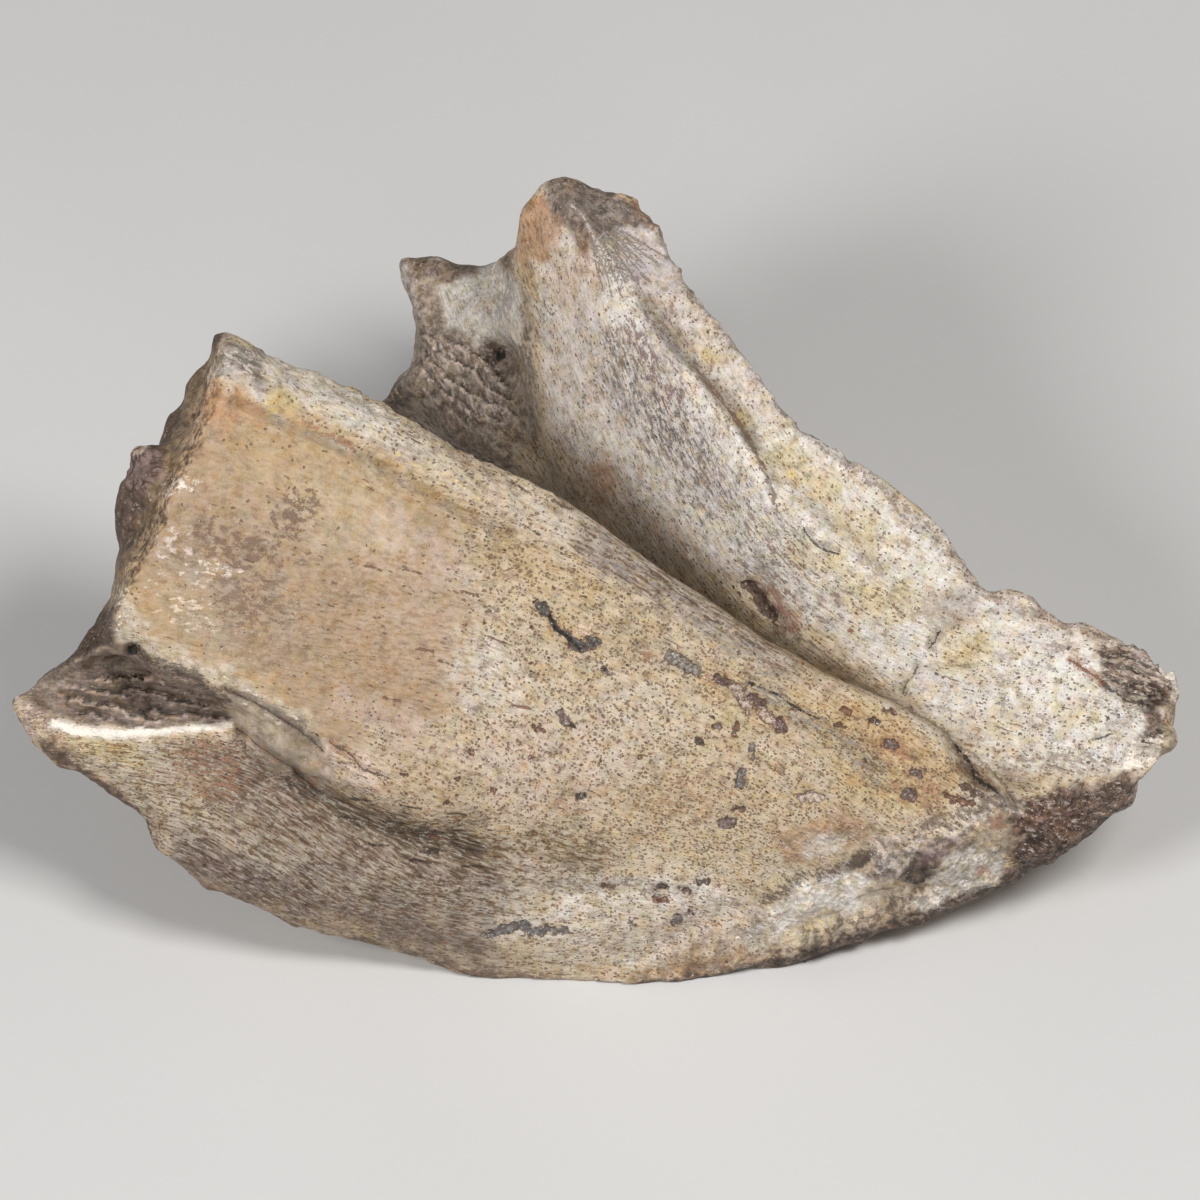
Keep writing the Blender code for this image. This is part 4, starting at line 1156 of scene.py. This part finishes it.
def height_of(points, normals, values, grain):
    """How far the surface stands out at each point, in millimetres."""
    plain = picture_of(points)[:2]
    sides = sides_of(points, normals)
    px, py = wavering(points, *plain, CRISP_WAVER)
    fine = layered(points, 1.2, 35, 2)
    pores, fibres, rock, crystal = values[:, :4].T
    height = 0.06 * layered(points, 2.5, 71, 3) + 0.04 * noise_at(points, 0.7, 75)
    height += rock * (0.25 * layered(points, 3.2, 83, 4) + 0.3 * (cells_at(points, 2.4, 81) - 0.35))
    height += crystal * 0.2 * (cells_at(points, 1.4, 91) - 0.35)
    height += fibres * 0.06 * layered(grain * np.array((0.2, 1.0, 1.0)), 0.9, 95, 2)
    for side, shape, amount, soft, lump in RELIEF:
        share = cover(shape(px, py), soft, 0.12, fine) * sides[side]
        rough = layered(points, lump, 111, 2) if lump else 1.0
        height += amount * share * rough
    for side, shape, turn, spacing, amount in LEDGES:
        share = cover(shape(px, py), 0.6, 0.12, fine) * sides[side]
        height += amount * (steps_at(points, *plain, turn, spacing) - 0.5) * share
    return height * smooth((points[:, 2] - 0.1) / 1.5)


# The grain: some of the picture's pixels, and which way the fibres run there, in degrees down to the right.

NEAR_GRAIN = ((230, 450, 18), (380, 620, 16), (300, 420, 27), (450, 470, 28), (600, 560, 32), (750, 650, 33),
              (900, 740, 36), (600, 750, 30), (700, 830, 20), (550, 700, 30), (150, 780, 34), (250, 830, 34),
              (330, 880, 30), (400, 900, 26), (420, 840, 12), (520, 930, 8), (650, 940, 0), (850, 780, 26),
              (250, 600, 10), (120, 690, 8))
FAR_GRAIN = ((560, 300, 62), (620, 350, 58), (680, 450, 55), (740, 400, 50), (800, 480, 46), (850, 560, 42),
             (900, 620, 35), (980, 650, 28), (1050, 740, 20), (1120, 690, 24), (620, 270, 62), (560, 420, 60),
             (960, 700, 28))
GRAIN_REACH = 130.0

# The places that the grain's coordinates turn about, so that bends in the grain stretch nothing.
NEAR_CENTRE = (560.0, 730.0)
FAR_CENTRE = (840.0, 520.0)


def grain_of(points):
    """Coordinates with the first along the bone's fibres, the second across them, the third outward."""
    px, py, out = picture_of(points)
    across = (points - MIDDLE_POINT) @ MIDDLE_NORMAL
    far = np.where(across > 0.0, 1.0, 0.0)
    turn = np.radians((1.0 - far) * slope_at(NEAR_GRAIN, px, py) + far * slope_at(FAR_GRAIN, px, py))
    right = (px - NEAR_CENTRE[0] - far * (FAR_CENTRE[0] - NEAR_CENTRE[0])) * FRAME_MM / FRAME_PIXELS
    down = (py - NEAR_CENTRE[1] - far * (FAR_CENTRE[1] - NEAR_CENTRE[1])) * FRAME_MM / FRAME_PIXELS
    return np.column_stack((right * np.cos(turn) + down * np.sin(turn),
                            down * np.cos(turn) - right * np.sin(turn), out))


def slope_at(anchors, px, py):
    """The grain's slope between anchors, in degrees."""
    total = np.zeros(len(px))
    weights = np.full(len(px), 1e-9)
    for x, y, degrees in anchors:
        weight = np.exp(-((px - x) ** 2 + (py - y) ** 2) / GRAIN_REACH ** 2) + 1e-6
        total += weight * degrees
        weights += weight
    return total / weights


def store(mesh, name, kind, rows):
    """Writes one value per point into the mesh."""
    attribute = mesh.attributes.new(name, kind, "POINT")
    field = "color" if kind == "FLOAT_COLOR" else "vector"
    attribute.data.foreach_set(field, np.ascontiguousarray(rows, np.float32).ravel())


def make_jaw(material):
    """The jaw as seen: the CAD skin with its relief, and its colours on its points."""
    skin = new_skin()
    points, normals = arrays_of(skin)
    values = channels_of(points, normals)[1]
    moved = points + normals * height_of(points, normals, values, grain_of(points))[:, None]
    moved[:, 2] = np.maximum(moved[:, 2], 0.0)
    write_points(skin, moved)
    faces = 2 * len(skin.polygons)
    weights = np.where(normals @ OUT < HIDDEN_FROM, 1.0, SEEN_GROUP)
    thin = {"ratio": TRIANGLES / faces, "vertex_group": "group", "vertex_group_factor": LENGTH_WEIGHT}
    mesh = changed(skin, ("DECIMATE", thin), group=weights)
    points, normals = arrays_of(mesh)
    colour, values = channels_of(points, normals)
    height = height_of(points, normals, values, grain_of(points))
    # Painted shade and light: lower places are darkened and raised places lightened, by their height.
    colour = colour * (1.0 + np.clip(height, -0.6, 0.25) * 0.7)[:, None]
    fleck_colour, fleck_share = flecks_of(points, normals, colour)
    line_places, line_paint = lines_of(points, normals)
    store(mesh, "paint", "FLOAT_COLOR", np.column_stack((np.clip(colour, 0.0, 1.0), np.ones(len(points)))))
    store(mesh, "fleck_paint", "FLOAT_COLOR", np.column_stack((np.clip(fleck_colour, 0.0, 1.0), fleck_share)))
    store(mesh, "line_paint", "FLOAT_COLOR", line_paint)
    store(mesh, "line_place", "FLOAT_VECTOR", line_places)
    store(mesh, "pit_paint", "FLOAT_COLOR", pits_of(points, normals))
    store(mesh, "grain", "FLOAT_VECTOR", grain_of(points))
    store(mesh, "texture_a", "FLOAT_VECTOR", values[:, :3])
    store(mesh, "texture_b", "FLOAT_VECTOR", values[:, 3:])
    mesh.transform(((MM, 0, 0, 0), (0, MM, 0, 0), (0, 0, MM, 0), (0, 0, 0, 1)))
    mesh.shade_smooth()
    mesh.materials.clear()
    mesh.materials.append(material)
    mesh.name = "jaw_skin"
    jaw = bpy.data.objects.new("jaw_skin", mesh)
    bpy.context.scene.collection.objects.link(jaw)
    return jaw


# Materials. Lengths are in millimetres, and a scale is a count per millimetre.

FIBRE_STRETCH = (0.16, 1.0, 1.0)
STREAK_STRETCH = (0.35, 1.0, 1.0)
CLUMP_STRETCH = (0.6, 1.0, 1.0)
LAYER_STRETCH = (0.15, 1.0, 1.0)
FIBRES_PER_MM = 3.4
STREAKS_PER_MM = 2.6
CLUMPS_PER_MM = 1.9
LAYERS_PER_MM = 1.5
LUMPS_PER_MM = 1.3
GRIT_PER_MM = 6.5
MINERALS_PER_MM = 3.8
CRYSTALS_PER_MM = 2.0
PORE_COLOUR = (0.17, 0.082, 0.050, 1.0)
PORE_AND_RIM_SHADE_COLOUR = (0.090, 0.045, 0.032, 1.0)
DASH_COLOUR = (0.20, 0.095, 0.06, 1.0)
PALE_FIBRE = (0.64, 0.58, 0.48, 1.0)
GLINT = (0.9, 0.88, 0.83, 1.0)

# Pits scattered along the grain: their scale, their stretch, where less is longer, and their least and
# greatest size, in cells.
PORES = (3.1, 0.85, 0.20, 0.46)
WIDE_PORES = (1.6, 0.8, 0.12, 0.27)
DASHES = (2.3, 0.07, 0.07, 0.22)

# Fine lines and placed pits, in picture pixels: how ragged their edges are, and how wide the painted shade at
# a pit's rim is.
LINE_RAGGED = 1.0
LINE_TRUSTED = 2.8
PIT_RAGGED = 2.4
PIT_SHADE_RIM = 1.3

# Mineral flecks in the bone, the pale ones partly painted glints: which chance picks them, their share of the
# cells and their colour.
MINERALS = ((0, 0.10, (0.24, 0.10, 0.07, 1.0)), (1, 0.08, (0.20, 0.18, 0.175, 1.0)),
            (2, 0.06, (0.62, 0.58, 0.53, 1.0)))


class Nodes:
    """Short calls for building a node tree."""

    def __init__(self, name):
        self.material = bpy.data.materials.new(name)
        self.material.use_nodes = True
        self.tree = self.material.node_tree
        self.shader = self.tree.nodes["Principled BSDF"]

    def add(self, kind, **settings):
        node = self.tree.nodes.new(kind)
        for key, value in settings.items():
            setattr(node, key, value)
        return node

    def feed(self, socket, value):
        if isinstance(value, bpy.types.NodeSocket):
            self.tree.links.new(value, socket)
        else:
            socket.default_value = value

    def attribute(self, name, output="Vector"):
        return self.add("ShaderNodeAttribute", attribute_name=name).outputs[output]

    def split(self, vector):
        node = self.add("ShaderNodeSeparateXYZ")
        self.feed(node.inputs[0], vector)
        return node.outputs

    def math(self, operation, first, second=0.0):
        node = self.add("ShaderNodeMath", operation=operation)
        self.feed(node.inputs[0], first)
        self.feed(node.inputs[1], second)
        return node.outputs[0]

    def times(self, *values):
        total = values[0]
        for value in values[1:]:
            total = self.math("MULTIPLY", total, value)
        return total

    def total(self, *values):
        total = values[0]
        for value in values[1:]:
            total = self.math("ADD", total, value)
        return total

    def scaled(self, vector, factors):
        node = self.add("ShaderNodeVectorMath", operation="MULTIPLY")
        self.feed(node.inputs[0], vector)
        node.inputs[1].default_value = factors
        return node.outputs[0]

    def noise(self, vector, scale, detail=4.0, roughness=0.55):
        node = self.add("ShaderNodeTexNoise")
        self.feed(node.inputs["Vector"], vector)
        node.inputs["Scale"].default_value = scale
        node.inputs["Detail"].default_value = detail
        node.inputs["Roughness"].default_value = roughness
        return node.outputs["Fac"]

    def cells(self, vector, scale):
        node = self.add("ShaderNodeTexVoronoi")
        self.feed(node.inputs["Vector"], vector)
        node.inputs["Scale"].default_value = scale
        return node.outputs["Distance"], self.split(node.outputs["Color"])

    def ranged(self, value, low, high, to_low=0.0, to_high=1.0, kind="SMOOTHSTEP"):
        node = self.add("ShaderNodeMapRange", interpolation_type=kind)
        self.feed(node.inputs["Value"], value)
        self.feed(node.inputs["From Min"], low)
        self.feed(node.inputs["From Max"], high)
        self.feed(node.inputs["To Min"], to_low)
        self.feed(node.inputs["To Max"], to_high)
        return node.outputs["Result"]

    def mix(self, share, first, second, blend="MIX"):
        node = self.add("ShaderNodeMix", data_type="RGBA", blend_type=blend)
        self.feed(node.inputs[0], share)
        self.feed(node.inputs[6], first)
        self.feed(node.inputs[7], second)
        return node.outputs[2]

    def tinted(self, share, colour, factors):
        """A colour multiplied by factors, as far as the share says."""
        return self.mix(share, colour, (*factors, 1.0), "MULTIPLY")


def pits(nodes, vector, ragged, kind, density):
    """Pits scattered along the grain, 1 inside one. Each has its own size, and only a share is there."""
    scale, stretch, small, large = kind
    distance, chance = nodes.cells(nodes.scaled(vector, (stretch, 1.0, 1.0)), scale)
    size = nodes.ranged(chance[0], 0.0, 1.0, small, large, "LINEAR")
    there = nodes.math("LESS_THAN", chance[1], density)
    push = nodes.ranged(ragged, 0.3, 0.7, -0.35, 0.35, "LINEAR")
    edge = nodes.total(nodes.math("DIVIDE", distance, size), push)
    return nodes.times(nodes.ranged(edge, 1.2, 0.7), there)


def bent_grain(nodes):
    """The grain's coordinates, pushed about a little so that fibres waver."""
    grain = nodes.attribute("grain")
    push = nodes.add("ShaderNodeCombineXYZ")
    nodes.feed(push.inputs[0], nodes.times(nodes.noise(grain, 1.6, 2.0), 0.5))
    nodes.feed(push.inputs[1], nodes.times(nodes.noise(grain, 0.9, 2.0), 0.5))
    bent = nodes.add("ShaderNodeVectorMath", operation="ADD")
    nodes.feed(bent.inputs[0], grain)
    nodes.feed(bent.inputs[1], push.outputs[0])
    return bent.outputs[0]


def toned(nodes, colour, solid, streak, grit, flecks):
    """Blotches, short streaks and grit, with warmer, cooler, greener and pinker places."""
    blotch = nodes.noise(solid, 0.9, 5.0, 0.62)
    tone = nodes.total(nodes.times(blotch, 1.3), nodes.times(streak, 0.6), nodes.times(grit, 0.6))
    busy = nodes.ranged(flecks, 0.0, 0.6, 0.6, 1.0, "LINEAR")
    dark = nodes.times(busy, nodes.ranged(tone, 1.24, 1.00))
    colour = nodes.tinted(dark, colour, (0.60, 0.56, 0.53))
    light = nodes.tinted(1.0, colour, (1.30, 1.32, 1.35))
    colour = nodes.mix(nodes.times(busy, nodes.ranged(tone, 1.25, 1.50, 0.0, 0.7)), colour, light)
    warmth = nodes.noise(solid, 0.8, 4.0, 0.6)
    colour = nodes.tinted(nodes.ranged(warmth, 0.50, 0.62), colour, (0.96, 0.90, 0.77))
    colour = nodes.tinted(nodes.ranged(warmth, 0.49, 0.38), colour, (0.99, 1.00, 1.07))
    hue = nodes.noise(nodes.scaled(solid, (-1.0, 1.0, 1.0)), 0.6, 5.0, 0.65)
    colour = nodes.tinted(nodes.ranged(hue, 0.51, 0.63), colour, (1.00, 0.93, 0.91))
    return nodes.tinted(nodes.ranged(hue, 0.49, 0.37), colour, (0.90, 0.93, 0.88))


def with_minerals(nodes, colour, solid, grit, flecks):
    """Small flecks of other minerals in the bone, the pale ones partly painted glints."""
    bit, chance = nodes.cells(solid, MINERALS_PER_MM)
    inside = nodes.times(nodes.ranged(bit, 0.50, 0.30), nodes.ranged(grit, 0.35, 0.5))
    for k, share, tint in MINERALS:
        there = nodes.math("LESS_THAN", chance[k], nodes.times(flecks, share))
        colour = nodes.mix(nodes.times(inside, there, 0.6), colour, tint)
    return colour


def with_fibres(nodes, colour, grain, fibres):
    """Dark and pale fibres along the grain, and the noise that shapes them."""
    strands = nodes.noise(nodes.scaled(grain, FIBRE_STRETCH), FIBRES_PER_MM, 3.0, 0.6)
    dark = nodes.times(fibres, nodes.ranged(strands, 0.50, 0.39), 0.9)
    colour = nodes.tinted(dark, colour, (0.42, 0.33, 0.26))
    pale = nodes.times(fibres, nodes.ranged(strands, 0.53, 0.62), 0.4)
    return nodes.mix(pale, colour, PALE_FIBRE), strands


def with_pits(nodes, colour, grain, grit, pores, dashes):
    """Clustered pores, wider pores and dashes, and how deep they are."""
    crowd = nodes.ranged(nodes.noise(grain, 0.6, 4.0), 0.36, 0.56, 0.4, 1.2)
    fine = pits(nodes, grain, grit, PORES, nodes.times(pores, crowd))
    wide = pits(nodes, grain, grit, WIDE_PORES, nodes.times(pores, crowd, 0.16))
    dash = pits(nodes, grain, grit, DASHES, nodes.times(dashes, 0.9))
    colour = nodes.mix(nodes.times(fine, 0.75), colour, PORE_COLOUR)
    colour = nodes.mix(nodes.times(wide, 0.85), colour, PORE_AND_RIM_SHADE_COLOUR)
    colour = nodes.mix(nodes.times(dash, 0.75), colour, DASH_COLOUR)
    return colour, nodes.total(nodes.times(fine, -0.10), nodes.times(wide, -0.16), nodes.times(dash, -0.08))


def with_rock(nodes, colour, solid, grain, rock, fibres):
    """Matrix, which is layered where it is fibrous too, and its lumps."""
    layers = nodes.noise(nodes.scaled(grain, LAYER_STRETCH), LAYERS_PER_MM, 6.0, 0.7)
    lumps = nodes.mix(fibres, nodes.noise(solid, LUMPS_PER_MM, 8.0, 0.66), layers)
    rocky = nodes.mix(nodes.ranged(lumps, 0.42, 0.58), nodes.tinted(1.0, colour, (0.34, 0.31, 0.29)),
                      nodes.tinted(1.0, colour, (1.60, 1.58, 1.56)))
    return nodes.mix(rock, colour, rocky), lumps


def with_crystals(nodes, colour, solid, grit, crystal):
    """Crystals with a tone for each facet and some glints, with their heights and their chances."""
    rise, facet = nodes.cells(solid, CRYSTALS_PER_MM)
    milky = nodes.noise(solid, 1.0, 4.0, 0.55)
    colour = nodes.tinted(nodes.times(crystal, nodes.ranged(milky, 0.52, 0.36)), colour, (0.66, 0.62, 0.56))
    shade = nodes.times(crystal, nodes.ranged(facet[2], 0.4, 1.0, 0.0, 0.6, "LINEAR"))
    colour = nodes.tinted(shade, colour, (0.58, 0.53, 0.48))
    glint = nodes.times(crystal, nodes.ranged(facet[0], 0.70, 0.85), nodes.ranged(grit, 0.52, 0.62), 0.6)
    return nodes.mix(glint, colour, GLINT), rise, facet


def with_flecks(nodes, colour, grain, streak, grit):
    """The flecks and marks that are placed one by one, and the share that they cover."""
    share = nodes.attribute("fleck_paint", "Alpha")
    clump = nodes.noise(nodes.scaled(grain, CLUMP_STRETCH), CLUMPS_PER_MM, 5.0, 0.6)
    speck = nodes.total(nodes.times(streak, 0.35), nodes.times(grit, 0.2), nodes.times(clump, 0.45))
    reach = nodes.total(share, nodes.ranged(speck, 0.38, 0.62, kind="LINEAR"))
    covered = nodes.times(nodes.ranged(reach, 0.86, 1.10), nodes.ranged(share, 0.02, 0.15))
    pale = nodes.ranged(grit, 0.62, 0.42)
    paint = nodes.tinted(pale, nodes.attribute("fleck_paint", "Color"), (1.55, 1.45, 1.38))
    return nodes.mix(nodes.times(covered, 0.85), colour, paint), covered


def with_placed_pits(nodes, colour, solid, grit):
    """The pits placed one by one, with dark rims of painted shade and sparkling fills, and the share that
    they cover.
    """
    stored = nodes.math("SUBTRACT", nodes.attribute("pit_paint", "Alpha"), 0.5)
    outside = nodes.times(stored, 2.0 * LINE_KNOWN)
    wander = nodes.noise(solid, 1.5, 3.0, 0.5)
    edge = nodes.total(outside, nodes.ranged(wander, 0.35, 0.65, -PIT_RAGGED, PIT_RAGGED, "LINEAR"))
    inside = nodes.ranged(edge, 0.9, -0.9)
    mottle = nodes.noise(solid, 2.6, 4.0, 0.6)
    dark = nodes.ranged(mottle, 0.52, 0.40)
    fill = nodes.tinted(dark, nodes.attribute("pit_paint", "Color"), (0.45, 0.38, 0.34))
    sparkle = nodes.times(nodes.ranged(mottle, 0.54, 0.62), nodes.ranged(grit, 0.50, 0.62), 0.7)
    fill = nodes.mix(sparkle, fill, GLINT)
    # The rim's painted shade isn't equally dark all round.
    patchy = nodes.ranged(nodes.noise(solid, 1.1, 2.0), 0.36, 0.54, 0.4, 0.95)
    rim = nodes.times(nodes.ranged(edge, -PIT_SHADE_RIM - 1.4, -PIT_SHADE_RIM + 0.8), patchy)
    fill = nodes.mix(rim, fill, PORE_AND_RIM_SHADE_COLOUR)
    return nodes.mix(nodes.times(inside, 0.9), colour, fill), inside


def with_lines(nodes, colour, solid, grit):
    """Fine lines, crisp where the signed distance to one is small, and the share that they cover."""
    signed, plain, known_width = nodes.split(nodes.attribute("line_place"))
    half_width = nodes.times(known_width, nodes.ranged(nodes.noise(solid, 1.0, 3.0), 0.38, 0.62, 0.2, 1.4))
    push = nodes.ranged(grit, 0.3, 0.7, -LINE_RAGGED, LINE_RAGGED, "LINEAR")
    off = nodes.math("SUBTRACT", nodes.math("ABSOLUTE", nodes.total(signed, push)), half_width)
    # Where the nearest line changes, the sign flips too, but there the plain distance stays large.
    there = nodes.times(nodes.ranged(plain, LINE_TRUSTED + 0.6, LINE_TRUSTED),
                        nodes.ranged(nodes.attribute("line_paint", "Alpha"), 0.35, 0.65))
    covered = nodes.times(nodes.ranged(off, 0.5, -0.5), there)
    return nodes.mix(nodes.times(covered, 0.85), colour, nodes.attribute("line_paint", "Color")), covered


def bone_material():
    """Fossil bone: porous and fibrous, with rough matrix and crystals where the channels say."""
    nodes = Nodes("fossil_bone_look")
    pores, fibres, rock = nodes.split(nodes.attribute("texture_a"))
    crystal, dashes, flecks = nodes.split(nodes.attribute("texture_b"))
    grain = bent_grain(nodes)
    solid = nodes.scaled(nodes.add("ShaderNodeTexCoord").outputs["Object"], (1 / MM, 1 / MM, 1 / MM))
    streak = nodes.noise(nodes.scaled(grain, STREAK_STRETCH), STREAKS_PER_MM, 5.0, 0.65)
    grit = nodes.noise(solid, GRIT_PER_MM, 2.0, 0.6)
    colour = toned(nodes, nodes.attribute("paint", "Color"), solid, streak, grit, flecks)
    colour = with_minerals(nodes, colour, solid, grit, flecks)
    colour, strands = with_fibres(nodes, colour, grain, fibres)
    colour, depth = with_pits(nodes, colour, grain, grit, pores, dashes)
    colour, lumps = with_rock(nodes, colour, solid, grain, rock, fibres)
    colour, rise, facet = with_crystals(nodes, colour, solid, grit, crystal)
    colour, flecked = with_flecks(nodes, colour, grain, streak, grit)
    colour, holes = with_placed_pits(nodes, colour, solid, grit)
    colour, lined = with_lines(nodes, colour, solid, grit)
    nodes.feed(nodes.shader.inputs["Base Color"], colour)
    # Roughness.
    dull = nodes.ranged(nodes.noise(solid, 2.2, 4.0), 0.3, 0.7, 0.52, 0.80)
    shiny = nodes.ranged(facet[1], 0.3, 1.0, 0.55, 0.18)
    gloss = nodes.ranged(nodes.total(crystal, nodes.times(rock, 0.25)), 0.0, 1.0, dull, shiny, "LINEAR")
    nodes.feed(nodes.shader.inputs["Roughness"], gloss)
    nodes.shader.inputs["Specular IOR Level"].default_value = 0.4
    # Height, in millimetres.
    uneven = nodes.ranged(flecks, 0.0, 1.0, 0.07, 0.17, "LINEAR")
    rough = nodes.times(nodes.noise(solid, 3.2, 6.0, 0.65), uneven)
    height = nodes.total(rough, nodes.times(streak, 0.08), depth,
                         nodes.times(flecked, -0.03), nodes.times(holes, -0.12), nodes.times(lined, -0.15),
                         nodes.times(strands, fibres, 0.22), nodes.times(lumps, rock, 0.6),
                         nodes.times(rise, crystal, 0.3))
    bump = nodes.add("ShaderNodeBump")
    bump.inputs["Strength"].default_value = 0.9
    bump.inputs["Distance"].default_value = MM
    nodes.feed(bump.inputs["Height"], height)
    nodes.feed(nodes.shader.inputs["Normal"], bump.outputs[0])
    return nodes.material


FLOOR_DARK = (0.62, 0.61, 0.60, 1.0)
FLOOR_PALE = (0.65, 0.64, 0.63, 1.0)


def floor_material():
    """Pale, matt floor."""
    nodes = Nodes("pale_floor")
    place = nodes.add("ShaderNodeTexCoord").outputs["Object"]
    tone = nodes.ranged(nodes.noise(place, 9.0, 3.0), 0.3, 0.7)
    nodes.feed(nodes.shader.inputs["Base Color"], nodes.mix(tone, FLOOR_DARK, FLOOR_PALE))
    nodes.shader.inputs["Roughness"].default_value = 0.9
    return nodes.material


# The stage. Lengths are in metres.

FLOOR_HALF = 1.5

# The lights: how far right, up and out of the picture they stand, then width, power in watts and tint.
KEY_PLACE = (0.28, 0.24, 0.58)
KEY_SIZE = 0.20
KEY_WATTS = 3.15
KEY_TINT = (1.0, 0.99, 0.97)
FILL_PLACE = (-0.40, 0.02, 0.54)
FILL_SIZE = 0.22
FILL_WATTS = 2.5
FILL_TINT = (1.0, 1.0, 1.0)
SKY_COLOUR = (0.95, 0.97, 1.0, 1.0)
SKY_STRENGTH = 0.18


def make_floor():
    """A plain floor under the jaw."""
    mesh = bpy.data.meshes.new("floor")
    corners = [(x * FLOOR_HALF, y * FLOOR_HALF, 0.0) for x, y in ((-1, -1), (1, -1), (1, 1), (-1, 1))]
    mesh.from_pydata(corners, [], [(0, 1, 2, 3)])
    mesh.materials.append(floor_material())
    floor = bpy.data.objects.new("floor", mesh)
    bpy.context.scene.collection.objects.link(floor)


def make_camera():
    """The camera at the picture's viewing angle."""
    data = bpy.data.cameras.new("camera")
    camera = bpy.data.objects.new("camera", data)
    bpy.context.scene.collection.objects.link(camera)
    camera.location = Vector(LOOKS_AT + OUT * DISTANCE) * MM
    camera.rotation_euler = Vector(OUT).to_track_quat("Z", "Y").to_euler()
    data.angle = 2 * math.atan(FRAME_MM / 2 / DISTANCE)
    data.clip_start = 0.05
    data.clip_end = 10.0
    bpy.context.scene.camera = camera


def add_light(name, place, size, watts, tint):
    """A square soft light, placed by how it stands in the picture, aimed at the jaw."""
    right, up, out = place
    data = bpy.data.lights.new(name, "AREA")
    data.energy = watts
    data.size = size
    data.color = tint
    light = bpy.data.objects.new(name, data)
    bpy.context.scene.collection.objects.link(light)
    offset = Vector(RIGHT * right + UP * up + OUT * out)
    light.location = Vector(LOOKS_AT) * MM + offset
    light.rotation_euler = offset.to_track_quat("Z", "Y").to_euler()


def light_scene():
    """Even studio light from both sides of the camera, and a weak sky."""
    world = bpy.data.worlds.new("studio")
    bpy.context.scene.world = world
    world.use_nodes = True
    world.node_tree.nodes["Background"].inputs[0].default_value = SKY_COLOUR
    world.node_tree.nodes["Background"].inputs[1].default_value = SKY_STRENGTH
    add_light("key", KEY_PLACE, KEY_SIZE, KEY_WATTS, KEY_TINT)
    add_light("fill", FILL_PLACE, FILL_SIZE, FILL_WATTS, FILL_TINT)
    bpy.context.scene.view_settings.view_transform = "Standard"


make_camera()
paint_block()
paint_crest()
paint_face()
paint_pits()
paint_flange()
paint_recess()
paint_near_end()
paint_front()
paint_far_ground()
paint_far_top()
paint_far_streaks()
paint_far_details()
paint_tip()
paint_stub()
jaw = make_jaw(bone_material())
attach(jaw, "root")
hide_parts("jaw")
make_floor()
light_scene()
